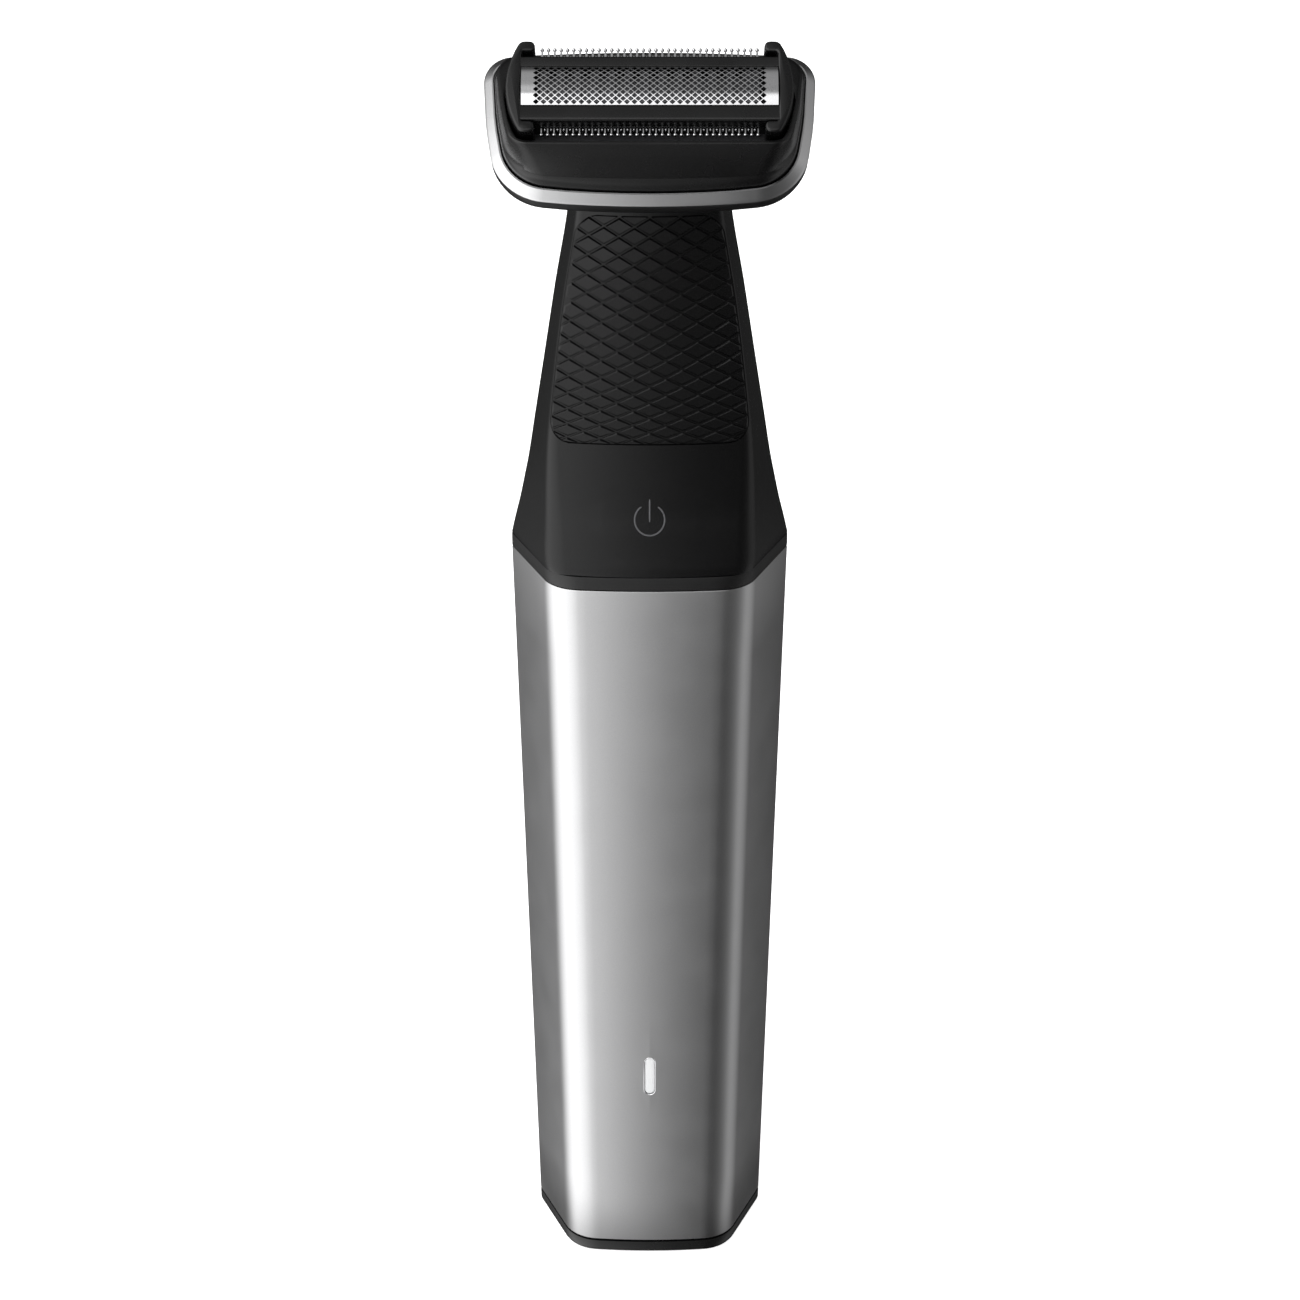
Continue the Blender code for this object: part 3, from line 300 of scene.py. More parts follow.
COMB_TOP_N = 0.12
COMB_HALF_LENGTH = 14.75
COMB_BEAD_N = -0.06
BLADE_ROOT_U = 3.5
BLADE_TIP_U = 5.5
BLADE_HALF_LENGTH = 13.9
BLADE_BOTTOM_N = -0.75
BLADE_TOP_N = -0.4
BLADE_BEAD_U = BLADE_TIP_U - 0.3
BLADE_BEAD_N = BLADE_TOP_N - 0.03
COMB_BEAD_RADIUS = 0.27
BLADE_BEAD_RADIUS = 0.17

# Camera at the photograph's viewing angle
CAMERA_PLACE_M = (0.0, -0.360, 0.294)
CAMERA_TILT = math.radians(62.05)
CAMERA_LENS = 76.04
CAMERA_SENSOR = 36.0
CAMERA_SHIFT_X = 0.00023
CAMERA_CLIP_START_M = 0.01


# ---- materials

# Noise of every material: grain gives its colour and relief, patches give its roughness
GRAIN_DETAIL = 2.0
PATCH_SCALE = 160.0
PATCH_DETAIL = 3.0
NOISE_LOW = 0.3
NOISE_HIGH = 0.7
RELIEF_DEPTH_M = 0.00005


def fill_node(tree, node, values, links=None):
    """Set a node's input values and link sources to its other inputs."""
    for key, value in values.items():
        node.inputs[key].default_value = value
    for key, source in (links or {}).items():
        tree.links.new(source, node.inputs[key])
    return node


def new_node(tree, kind, values, links=None):
    """Add a shader node with its values and links."""
    return fill_node(tree, tree.nodes.new("ShaderNode" + kind), values, links)


def ramp_node(tree, source, stops):
    """Colour ramp from (position, colour) stops, driven by a socket."""
    ramp = new_node(tree, "ValToRGB", {}, {"Fac": source})
    elements = ramp.color_ramp.elements
    for index, (position, color) in enumerate(stops):
        element = elements[index] if index < 2 else elements.new(position)
        element.position = position
        element.color = (*color, 1.0)
    return ramp.outputs["Color"]


def grained(name, color, roughness, metallic, grain, bump, variation=0.06, roughness_range=0.05,
            specular=0.5):
    """Principled material whose colour, roughness and fine relief come from noise."""
    material = bpy.data.materials.new(name)
    material.use_nodes = True
    tree = material.node_tree
    place = {"Vector": new_node(tree, "TexCoord", {}).outputs["Object"]}
    fine = new_node(tree, "TexNoise", {"Scale": grain, "Detail": GRAIN_DETAIL}, place).outputs["Fac"]
    broad = new_node(tree, "TexNoise", {"Scale": PATCH_SCALE, "Detail": PATCH_DETAIL}, place).outputs["Fac"]
    stops = [(position, [min(value * factor, 1.0) for value in color])
             for position, factor in ((NOISE_LOW, 1.0 - variation), (NOISE_HIGH, 1.0 + variation))]
    spread = {"From Min": NOISE_LOW, "From Max": NOISE_HIGH,
              "To Min": roughness - roughness_range, "To Max": roughness + roughness_range}
    gloss = new_node(tree, "MapRange", spread, {"Value": broad})
    relief = new_node(tree, "Bump", {"Strength": bump, "Distance": RELIEF_DEPTH_M}, {"Height": fine})
    fill_node(tree, tree.nodes["Principled BSDF"], {"Metallic": metallic, "Specular IOR Level": specular},
              {"Base Color": ramp_node(tree, fine, stops), "Roughness": gloss.outputs["Result"],
               "Normal": relief.outputs["Normal"]})
    return material


# Slot: name, colour, roughness, metallic, grain, bump, variation, roughness range, specular
LOOKS = {
    "sleeve_silver": ("satin_lacquered_silver", (0.60, 0.60, 0.605), 0.30, 1.0, 7000.0, 0.12, 0.03, 0.02),
    "trim_silver": ("trim_silver", (0.64, 0.64, 0.645), 0.22, 1.0, 8000.0, 0.08, 0.03, 0.03),
    "steel": ("polished_steel", (0.72, 0.72, 0.73), 0.16, 1.0, 6000.0, 0.05, 0.04, 0.04),
    "black_plastic": ("moulded_black", (0.003, 0.003, 0.0031), 0.42, 0.0, 5200.0, 0.35, 0.12),
    "gloss_black_plastic": ("gloss_black", (0.0025, 0.0025, 0.0026), 0.26, 0.0, 4200.0, 0.08, 0.1),
    "black_rubber": ("soft_touch_black", (0.0019, 0.0019, 0.002), 0.22, 0.0, 6500.0, 0.35, 0.15, 0.015, 0.36),
    "lens": ("milky_lens", (0.60, 0.605, 0.61), 0.2, 0.0, 3000.0, 0.03, 0.02),
    "board": ("board_green", (0.03, 0.16, 0.07), 0.45, 0.0, 2500.0, 0.2, 0.25),
    "cell_wrap": ("cell_wrap", (0.12, 0.3, 0.2), 0.32, 0.0, 2500.0, 0.1, 0.1),
    "grey_plastic": ("filled_grey_plastic", (0.06, 0.06, 0.064), 0.5, 0.0, 3800.0, 0.4, 0.15),
    "nickel": ("nickel_plate", (0.62, 0.6, 0.55), 0.28, 1.0, 5000.0, 0.1),
    "brass": ("turned_brass", (0.7, 0.5, 0.22), 0.3, 1.0, 5000.0, 0.1),
}
MATERIALS = {slot: grained(*look) for slot, look in LOOKS.items()}
# Inner cutter: steel darkened as painted shade, for the shade it sits in under the foil
CUTTER_PAINTED_SHADE = grained("steel_painted_shade", (0.09, 0.09, 0.095), 0.4, 1.0, 5000.0, 0.1)
LIGHT_RIM = grained("bright_rim", (0.85, 0.85, 0.86), 0.12, 1.0, 5000.0, 0.02, 0.02)


# ---- mesh building

SHARP_DEGREES = 35.0


def add_object(name, data):
    """Put a new object in the scene."""
    made = bpy.data.objects.new(name, data)
    bpy.context.scene.collection.objects.link(made)
    return made


def shade_smooth(mesh, degrees):
    """Smooth shading except at edges sharper than an angle."""
    for polygon in mesh.polygons:
        polygon.use_smooth = True
    mesh.set_sharp_from_angle(angle=math.radians(degrees))


def add_mesh(name, points, faces, slot, smooth=SHARP_DEGREES):
    """Make one object from points in millimetres, smooth except at sharp edges."""
    mesh = bpy.data.meshes.new(name)
    mesh.from_pydata([tuple(value * MM for value in point) for point in points], [], faces)
    work = bmesh.new()
    work.from_mesh(mesh)
    bmesh.ops.recalc_face_normals(work, faces=work.faces)
    work.to_mesh(mesh)
    work.free()
    shade_smooth(mesh, smooth)
    if slot in MATERIALS:
        mesh.materials.append(MATERIALS[slot])
    return add_object(name, mesh)


def piece(name, solid, slot, body, *nodes, smooth=SHARP_DEGREES):
    """Add a mesh that rides on a body and stands for CAD nodes."""
    made = add_mesh(name, solid[0], solid[1], slot, smooth)
    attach(made, body)
    if nodes:
        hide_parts(*nodes)
    return made


def loft(loops, wrap=False):
    """Join equal-length loops into a solid; wrap closes the last onto the first."""
    points = [point for loop in loops for point in loop]
    count = len(loops[0])
    faces = []
    for level in range(len(loops) if wrap else len(loops) - 1):
        lower = level * count
        upper = ((level + 1) % len(loops)) * count
        for index in range(count):
            after = (index + 1) % count
            faces.append((lower + index, lower + after, upper + after, upper + index))
    if not wrap:
        top = (len(loops) - 1) * count
        faces.append(tuple(range(count)))
        faces.append(tuple(range(top, top + count)))
    return points, faces


def merged(solids):
    """Several solids as one set of points and faces."""
    points = []
    faces = []
    for part_points, part_faces in solids:
        start = len(points)
        points.extend(part_points)
        faces.extend(tuple(start + index for index in face) for face in part_faces)
    return points, faces


def subtract(target, solid):
    """Cut a solid out of a mesh with an exact Boolean and keep the result."""
    cutter = add_mesh("cutter", solid[0], solid[1], None)
    modifier = target.modifiers.new("cut", "BOOLEAN")
    modifier.operation = "DIFFERENCE"
    modifier.solver = "EXACT"
    modifier.object = cutter
    evaluated = target.evaluated_get(bpy.context.evaluated_depsgraph_get())
    result = bpy.data.meshes.new_from_object(evaluated)
    target.modifiers.clear()
    target.data = result
    bpy.data.objects.remove(cutter, do_unlink=True)
    shade_smooth(result, SHARP_DEGREES)


def rounded_outline(corners, radii, steps):
    """Fillet the corners of a polygon; a radius of 0 keeps the plain point."""
    result = []
    for index, corner in enumerate(corners):
        radius = radii[index]
        here = Vector(corner)
        if radius == 0.0:
            result.append((here.x, here.y))
            continue
        before = (Vector(corners[index - 1]) - here).normalized()
        after = (Vector(corners[(index + 1) % len(corners)]) - here).normalized()
        half_angle = before.angle(after) / 2.0
        center = here + (before + after).normalized() * (radius / math.sin(half_angle))
        start = here + before * (radius / math.tan(half_angle)) - center
        turn = math.pi - 2.0 * half_angle
        side = 1.0 if before.cross(after) < 0.0 else -1.0
        for step in range(steps[index] + 1):
            angle = side * turn * step / steps[index]
            x = center.x + start.x * math.cos(angle) - start.y * math.sin(angle)
            y = center.y + start.x * math.sin(angle) + start.y * math.cos(angle)
            result.append((x, y))
    return result


def signed_area(outline):
    """Area of a closed outline, positive when it runs anticlockwise."""
    return sum(a[0] * b[1] - b[0] * a[1] for a, b in zip(outline, outline[1:] + outline[:1])) / 2.0


def inset_outline(outline, distance):
    """Move each point of a closed outline inwards along its own normal."""
    turn = 1.0 if signed_area(outline) > 0.0 else -1.0
    moved = []
    for index, point in enumerate(outline):
        before = outline[index - 1]
        after = outline[(index + 1) % len(outline)]
        along = Vector((after[0] - before[0], after[1] - before[1])).normalized()
        moved.append((point[0] - turn * along.y * distance, point[1] + turn * along.x * distance))
    return moved


def hexagon(half_width, front, rear, corner_x, bulge, radius, inset=0.0):
    """Rounded hexagon with ridges at the sides and parabolic front and rear faces."""
    middle = (front + rear) / 2.0
    depth = (rear - front) / 2.0 - bulge
    lean = math.atan2(depth, half_width - corner_x)
    ridge_x = half_width + RIDGE_RADIUS * (1.0 / math.sin(lean) - 1.0) - inset / math.sin(lean)
    corner = corner_x - inset * (1.0 - math.cos(lean)) / math.sin(lean)
    points = [(ridge_x, middle), (corner, rear - bulge - inset)]
    points += [(share * corner, rear - inset - bulge * share ** 2) for share in FACE_SHARES]
    points += [(-corner, rear - bulge - inset), (-ridge_x, middle), (-corner, front + bulge + inset)]
    points += [(-share * corner, front + inset + bulge * share ** 2) for share in FACE_SHARES]
    points.append((corner, front + bulge + inset))
    round_corner = max(radius - inset, LEAST_CORNER_RADIUS)
    face = (0.0,) * len(FACE_SHARES)
    radii = (RIDGE_RADIUS, round_corner, *face, round_corner)
    steps = (RIDGE_STEPS, CORNER_STEPS, *face, CORNER_STEPS)
    return rounded_outline(points, radii + radii, steps + steps)


def sleeve_ring(z, inset=0.0):
    """Handle section at a height, as points in space."""
    share = (z - SLEEVE_BOTTOM_Z) / (SEAM_Z - SLEEVE_BOTTOM_Z)
    scale = BASE_TAPER + (1.0 - BASE_TAPER) * share
    depth = SEAM_HALF_DEPTH * scale
    outline = hexagon(SEAM_HALF_WIDTH * scale, -depth, depth, SEAM_CORNER_X * scale,
                      FACE_BULGE, CORNER_RADIUS, inset)
    return [(x, y, z) for x, y in outline]


def edge_rings(z, edge):
    """Handle sections of an edge profile that starts at a height."""
    return [sleeve_ring(z + rise, draw) for rise, draw in edge]


def capsule(margin, steps=12):
    """Capsule of the status light grown by a margin, as (x, z) points."""
    half_width = LIGHT_HALF_WIDTH + margin
    straight = LIGHT_HALF_HEIGHT + margin - half_width
    points = []
    for end, first in ((1.0, 0.0), (-1.0, math.pi)):
        for step in range(steps + 1):
            angle = first + math.pi * step / steps
            points.append((half_width * math.cos(angle),
                           LIGHT_Z + half_width * math.sin(angle) + end * straight))
    return points


# ---- neck shapes

def neck_sizes(z):
    """Neck profile at a height, as a smooth curve through its rows."""
    rows = NECK_PROFILE
    last = len(rows) - 2
    row = min(max(sum(1 for entry in rows if entry[0] <= z) - 1, 0), last)
    low, high = rows[row], rows[row + 1]
    before = rows[max(row - 1, 0)]
    after = rows[min(row + 2, len(rows) - 1)]
    span = high[0] - low[0]
    t = (z - low[0]) / span
    sizes = []
    for k in range(1, len(low)):
        start_slope = (high[k] - before[k]) / (high[0] - before[0])
        end_slope = (after[k] - low[k]) / (after[0] - low[0])
        value = low[k] * (1.0 - t) ** 2 * (1.0 + 2.0 * t) + high[k] * t ** 2 * (3.0 - 2.0 * t)
        value += span * (start_slope * t * (1.0 - t) ** 2 - end_slope * t ** 2 * (1.0 - t))
        sizes.append(value)
    return sizes


def neck_section(z, inset=0.0):
    """Neck outline at a height."""
    half_width, front, rear, corner_inset, radius = neck_sizes(z)
    return hexagon(half_width, front, rear, half_width - corner_inset, NECK_BULGE, radius, inset)


def neck_depth(x, z):
    """Depth of the neck's front face at a width and height."""
    half_width, front, _, corner_inset, _ = neck_sizes(z)
    return front + NECK_BULGE * (x / (half_width - corner_inset)) ** 2


def neck_rings(inset):
    """Neck sections from the collar to the tilted top."""
    levels = [(NECK_BOTTOM_Z + rise, draw) for rise, draw in NECK_BOTTOM_EDGE]
    span = NECK_FLAT_TOP_Z - NECK_PLAIN_BOTTOM_Z
    levels += [(NECK_PLAIN_BOTTOM_Z + span * level / NECK_LEVELS, 0.0) for level in range(NECK_LEVELS + 1)]
    rings = [[(x, y, z) for x, y in neck_section(z, inset + draw)] for z, draw in levels]
    plane = HEAD_ORIGIN.z - HEAD_ORIGIN.y + NECK_TOP_N / math.cos(HEAD_TILT)
    tops = [plane] * len(rings[0])
    for _ in range(NECK_TOP_PASSES):
        tops = [plane + neck_section(z, inset)[k][1] for k, z in enumerate(tops)]
    for part in range(1, NECK_TOP_LEVELS + 1):
        ring = []
        for k, top in enumerate(tops):
            z = NECK_FLAT_TOP_Z + (top - NECK_FLAT_TOP_Z) * part / NECK_TOP_LEVELS
            x, y = neck_section(z, inset)[k]
            ring.append((x, y, z))
        rings.append(ring)
    return rings


def neck_half(front):
    """Front or rear half of the neck as a closed shell ending on the side ridges."""
    sections = []
    for outer, inner in zip(neck_rings(0.0), neck_rings(NECK_WALL)):
        half = len(outer) // 2
        start = RIDGE_STEPS // 2 + (half if front else 0)
        span = [k % len(outer) for k in range(start, start + half + 1)]
        shift = -NECK_HALF_GAP if front else NECK_HALF_GAP
        loop = []
        for source, order in ((outer, span), (inner, span[::-1])):
            for place, k in enumerate(order):
                x, y, z = source[k]
                loop.append((x, y + (shift if place in (0, len(order) - 1) else 0.0), z))
        sections.append(loop)
    return loft(sections)


def pad_half_width(z):
    """Half width of the grip pad, with rounded corners top and bottom."""
    half_width, _, _, corner_inset, _ = neck_sizes(z)
    wide = half_width - corner_inset - PAD_SIDE_GAP
    reach = min(max(z - PAD_LOW.z, 0.0), max(PAD_HIGH.z - z, 0.0), PAD_CORNER_RADIUS)
    left = PAD_CORNER_RADIUS - reach
    return wide - PAD_CORNER_RADIUS + math.sqrt(PAD_CORNER_RADIUS ** 2 - left ** 2)


def pad_levels():
    """Heights over the pad, close together where its corners curve."""
    height = PAD_HIGH.z - PAD_LOW.z
    curve = [PAD_CORNER_RADIUS * (1.0 - math.cos(math.pi / 2.0 * k / PAD_CORNER_STEPS))
             for k in range(PAD_CORNER_STEPS + 1)]
    curve[0] = PAD_END_LEVEL
    middle = [PAD_CORNER_RADIUS + (height - 2.0 * PAD_CORNER_RADIUS) * k / PAD_MIDDLE_STEPS
              for k in range(1, PAD_MIDDLE_STEPS)]
    levels = curve + middle + [height - value for value in reversed(curve)]
    return [PAD_LOW.z + level for level in levels]


def pad_patch(margin, outward, inward):
    """Closed patch in the pad's outline that follows the front of the neck."""
    loops = []
    levels = pad_levels()
    shares = [2.0 * k / PAD_ACROSS_STEPS - 1.0 for k in range(PAD_ACROSS_STEPS + 1)]
    for k, z in enumerate(levels):
        width = pad_half_width(z) + margin
        lift = -margin if k == 0 else margin if k == len(levels) - 1 else 0.0
        outer = [(s * width, neck_depth(s * width, z) - outward, z + lift) for s in shares]
        inner = [(s * width, neck_depth(s * width, z) + inward, z + lift) for s in reversed(shares)]
        loops.append(outer + inner)
    return loft(loops)


def clip_convex(polygon, border):
    """Part of a polygon inside a convex border that runs anticlockwise."""
    result = polygon
    for k, start in enumerate(border):
        end = border[(k + 1) % len(border)]
        edge = (end[0] - start[0], end[1] - start[1])
        sides = [edge[0] * (y - start[1]) - edge[1] * (x - start[0]) for x, y in result]
        kept = []
        for j, point in enumerate(result):
            before = result[j - 1]
            if (sides[j] >= 0.0) != (sides[j - 1] >= 0.0):
                share = sides[j - 1] / (sides[j - 1] - sides[j])
                kept.append(tuple(b + share * (a - b) for a, b in zip(point, before)))
            if sides[j] >= 0.0:
                kept.append(point)
        result = kept
        if len(result) < 3:
            return []
    return result


def shrink(polygon, distance):
    """Draw a small polygon in towards its centre by a distance."""
    center_x = sum(x for x, _ in polygon) / len(polygon)
    center_z = sum(z for _, z in polygon) / len(polygon)
    drawn = []
    for x, z in polygon:
        reach = math.hypot(x - center_x, z - center_z)
        keep = max(1.0 - distance / reach, DIAMOND_LEAST_SHARE)
        drawn.append((center_x + (x - center_x) * keep, center_z + (z - center_z) * keep))
    return drawn


def lattice_point(column, half_row):
    """A crossing of the diamond grooves; rows close up towards the bottom."""
    row = half_row / 2.0
    z = DIAMOND_TOP_Z - DIAMOND_PITCH * row + DIAMOND_CURVE * max(row - DIAMOND_CURVE_START, 0.0) ** 2
    half_width = DIAMOND_HALF_WIDTH + DIAMOND_WIDENING * (DIAMOND_TOP_Z - z) / (DIAMOND_TOP_Z - PAD_LOW.z)
    return (column * half_width, z)


def groove_free(polygon):
    """A diamond with half a groove taken off each of its four sides."""
    (right, middle), (_, top), (left, _), (_, bottom) = polygon
    center = (left + right) / 2.0
    wide = (right - left) / 2.0
    slope = math.hypot(wide, (top - bottom) / 2.0)
    cut_x = GROOVE_WIDTH / 2.0 * slope / ((top - bottom) / 2.0)
    cut_z = GROOVE_WIDTH / 2.0 * slope / wide
    return [(center + wide - cut_x, middle), (center, top - cut_z), (center - wide + cut_x, middle),
            (center, bottom + cut_z)]


def diamonds():
    """All raised diamonds of the grip pad, clipped to its outline."""
    lowest = PAD_LOW.z + PAD_BORDER
    highest = PAD_HIGH.z - PAD_BORDER
    inside = [z for z in pad_levels() if lowest < z < highest]
    right = [(pad_half_width(z) - PAD_BORDER, z) for z in [lowest] + inside + [highest]]
    border = right + [(-x, z) for x, z in reversed(right)]
    solids = []
    for half_row in range(-2, 2 * DIAMOND_ROWS):
        for column in range(-DIAMOND_COLUMNS, DIAMOND_COLUMNS + 1):
            if (column + half_row) % 2 == 0:
                continue
            whole = [lattice_point(column + 1, half_row), lattice_point(column, half_row - 1),
                     lattice_point(column - 1, half_row), lattice_point(column, half_row + 1)]
            outline = clip_convex(groove_free(whole), border)
            if abs(signed_area(outline)) < DIAMOND_LEAST_AREA:
                continue
            solids.append(loft([[(x, neck_depth(x, z) - rise, z) for x, z in shrink(outline, draw)]
                                for rise, draw in DIAMOND_EDGE]))
    return merged(solids)


def skin_point(radius, angle, depth):
    """Point of the soft skin around the button, sunk by a depth."""
    x = radius * math.sin(angle)
    z = BUTTON_Z + radius * math.cos(angle)
    return (x, neck_depth(x, z) + depth, z)


def skin_sector(index):
    """One closed sector of the ring of skin around the button."""
    angles = [SKIN_SECTOR_TURN * (index + step / SKIN_SECTOR_STEPS) for step in range(SKIN_SECTOR_STEPS + 1)]
    loops = []
    for ring in range(SKIN_RINGS + 1):
        radius = SKIN_INNER_RADIUS + (SKIN_OUTER_RADIUS - SKIN_INNER_RADIUS) * ring / SKIN_RINGS
        outer = [skin_point(radius, angle, 0.0) for angle in angles]
        inner = [skin_point(radius, angle, SKIN_THICKNESS) for angle in reversed(angles)]
        loops.append(outer + inner)
    return loft(loops)


def skin_disc():
    """Round middle of the skin, which the button carries."""
    levels = [(SKIN_CENTER_RADIUS, 0.0)]
    levels += [(SKIN_INNER_RADIUS * share, 0.0) for share in SKIN_DISC_SHARES]
    levels.append((SKIN_INNER_RADIUS, SKIN_THICKNESS))
    turns = circle_angles(SKIN_SIDES)
    return loft([[skin_point(radius, angle, depth) for angle in turns] for radius, depth in levels])


def tube(route, sides=10):
    """Closed round line of the icon along a route of points."""
    loops = []
    for k, place in enumerate(route):
        along = (route[min(k + 1, len(route) - 1)] - route[max(k - 1, 0)]).normalized()
        across = along.cross(Vector((0.0, 1.0, 0.0))).normalized()
        out = across.cross(along)
        size = ICON_LINE * (ICON_LINE_END if k in (0, len(route) - 1) else 1.0)
        loops.append([tuple(place + (across * math.cos(a) + out * math.sin(a)) * size)
                      for a in circle_angles(sides)])
    return loft(loops)


def power_icon():
    """Generic power symbol raised on the skin: an open ring and a bar."""
    ring = []
    for step in range(ICON_RING_STEPS + 1):
        angle = ICON_GAP + (2.0 * math.pi - 2.0 * ICON_GAP) * step / ICON_RING_STEPS
        ring.append(Vector(skin_point(ICON_RADIUS, angle, ICON_SINK)))
    bar = [Vector(skin_point(ICON_BAR_START + ICON_BAR_LENGTH * step / ICON_BAR_STEPS, 0.0, ICON_SINK))
           for step in range(ICON_BAR_STEPS + 1)]
    return merged((tube(ring), tube(bar)))


# ---- head shapes

def head_point(x, u, n):
    """World place, in millimetres, of a point in head coordinates."""
    slope = math.cos(HEAD_TILT)
    return (x, HEAD_ORIGIN.y + slope * (u - n), HEAD_ORIGIN.z + slope * (u + n))


def in_head(solid):
    """A solid given in head coordinates, placed in the world."""
    return [head_point(*point) for point in solid[0]], solid[1]


def bowed(start, end, bulge, steps, margin=0.0):
    """Points between two corners along a parabola that bulges to the right of the way."""
    way = Vector((end[0] - start[0], end[1] - start[1]))
    side = Vector((way.y, -way.x)).normalized()
    clear = margin / way.length
    points = []
    for k in range(1, steps):
        share = clear + (1.0 - 2.0 * clear) * (k - 1) / (steps - 2) if margin else k / steps
        lift = bulge * (1.0 - (2.0 * share - 1.0) ** 2)
        points.append((start[0] + way.x * share + side.x * lift, start[1] + way.y * share + side.y * lift))
    return points


def head_outline(rear_x, front_x, rear, front, bulges, rear_radius, front_radius):
    """Four bowed sides with rounded corners, anticlockwise from the front right."""
    rear_bulge, front_bulge, side_bulge = bulges
    sides = (((rear_x, rear), side_bulge, SIDE_STEPS, front_radius),
             ((-rear_x, rear), rear_bulge, LONG_STEPS, rear_radius),
             ((-front_x, front), side_bulge, SIDE_STEPS, rear_radius),
             ((front_x, front), front_bulge, LONG_STEPS, front_radius))
    margin = max(rear_radius, front_radius) * BOW_MARGIN_SHARE + BOW_MARGIN
    points = []
    radii = []
    start = (front_x, front)
    for end, bulge, count, radius in sides:
        bow = bowed(start, end, bulge, count, margin)
        points += [start] + bow
        radii += [radius] + [0.0] * len(bow)
        start = end
    return rounded_outline(points, radii, [HEAD_CORNER_STEPS] * len(points))


def head_ring(offset, n):
    """Head outline moved inwards by an offset, at a level n."""
    outline = head_outline(HEAD_REAR_X - offset, HEAD_FRONT_X - offset, HEAD_REAR_U - offset,
                           HEAD_FRONT_U + offset, (HEAD_REAR_BULGE, HEAD_FRONT_BULGE, HEAD_SIDE_BULGE),
                           max(HEAD_REAR_RADIUS - offset, HEAD_LEAST_RADIUS),
                           max(HEAD_FRONT_RADIUS - offset, HEAD_LEAST_RADIUS))
    return [(x, u, n) for x, u in outline]


def rim_level(u, rise):
    """Level of the sloping rim, or of a point that rises above it."""
    return RIM_N - RIM_SLOPE * (u + RIM_HALF_DEPTH) + rise


def between(low, high, share, rise):
    """Loop part of the way from one loop to another, with its own share for the level."""
    return [(a[0] + (b[0] - a[0]) * share, a[1] + (b[1] - a[1]) * share, a[2] + (b[2] - a[2]) * rise)
            for a, b in zip(low, high)]


def rim_loops(outline, edge):
    """Loops of a soft edge that follows the sloping rim."""
    return [[(x, u, rim_level(u, rise)) for x, u in inset_outline(outline, draw)] for rise, draw in edge]


def dome():
    """Upper shell: a rounded wall up to a sloping rim, and the recess for the cassette."""
    foot = head_ring(DOME_FOOT_INSET, DOME_FOOT_N)
    outline = head_outline(HEAD_REAR_X - SHOULDER_INSET, HEAD_FRONT_X - SHOULDER_INSET, SHOULDER_REAR_U,
                           SHOULDER_FRONT_U, (SHOULDER_BULGE, SHOULDER_BULGE, HEAD_SIDE_BULGE),
                           *SHOULDER_RADII)
    shoulder = [(x, u, SHOULDER_N) for x, u in outline]
    rim = head_outline(HEAD_REAR_X - RIM_INSET, HEAD_FRONT_X - RIM_INSET, RIM_HALF_DEPTH, -RIM_HALF_DEPTH,
                       (RIM_BULGE, RIM_BULGE, HEAD_SIDE_BULGE), *RIM_RADII)
    top = [(x, u, rim_level(u, 0.0)) for x, u in rim]
    corner_x = RECESS_HALF_WIDTH - RECESS_CORNER_DROP
    recess = head_outline(corner_x, corner_x, RECESS_HALF_DEPTH, -RECESS_HALF_DEPTH,
                          (0.0, 0.0, RECESS_CORNER_DROP), *RECESS_RADII)
    loops = [head_ring(DOME_FOOT_INSET, DOME_BOTTOM_N), foot]
    loops += [between(foot, shoulder, share, rise) for share, rise in FOOT_CURVE]
    loops.append(shoulder)
    loops += [between(shoulder, top, share, share) for share in WALL_SHARES]
    loops += rim_loops(rim, RIM_EDGE) + rim_loops(recess, RECESS_EDGE)
    loops.append([(x, u, DOME_BOTTOM_N) for x, u in recess])
    return loft(loops, wrap=True)


def end_cap(side):
    """Cassette end cap with rounded ears beside the trimmers."""
    outer = CAP_HALF_WIDTH - CAP_CORNER_DROP
    bow = bowed((outer, -CAP_HALF_DEPTH), (outer, CAP_HALF_DEPTH), CAP_CORNER_DROP, CAP_SIDE_STEPS)
    ear = [(outer, CAP_HALF_DEPTH), (EAR_INNER_X, CAP_HALF_DEPTH), (EAR_INNER_X, EAR_INNER_U),
           (CAP_INNER_X, EAR_INNER_U)]
    corners = [(outer, -CAP_HALF_DEPTH)] + bow + ear + [(x, -u) for x, u in ear[:0:-1]]
    flat = (0,) * len(bow)
    outline = rounded_outline(corners, EAR_RADII[:1] + flat + EAR_RADII + EAR_RADII[:0:-1],
                              EAR_STEPS[:1] + flat + EAR_STEPS + EAR_STEPS[:0:-1])
    loops = [[(x, u, CASSETTE_BOTTOM_N) for x, u in outline]]
    for rise, draw in CAP_EDGE:
        loops.append([(x, u, CAP_TOP_N + rise) for x, u in inset_outline(outline, draw)])
    points, faces = loft(loops)
    return [(side * x, u, n) for x, u, n in points], faces


def foil_bar(side):
    """Black bar between the foil and a trimmer, with soft edges."""
    outer = BAR_FRONT_OUTER_U if side < 0.0 else BAR_REAR_OUTER_U
    foot = outer + (BAR_FRONT_FOOT if side < 0.0 else 0.0)
    corners = ((BAR_INNER_U, BAR_BOTTOM_N), (foot, BAR_BOTTOM_N), (outer, BAR_TOP_N),
               (BAR_INNER_U, BAR_TOP_N))
    outline = rounded_outline(corners, BAR_RADII, BAR_STEPS)
    return loft([[(x, side * u, n) for u, n in outline] for x in (-BAR_HALF_LENGTH, BAR_HALF_LENGTH)])


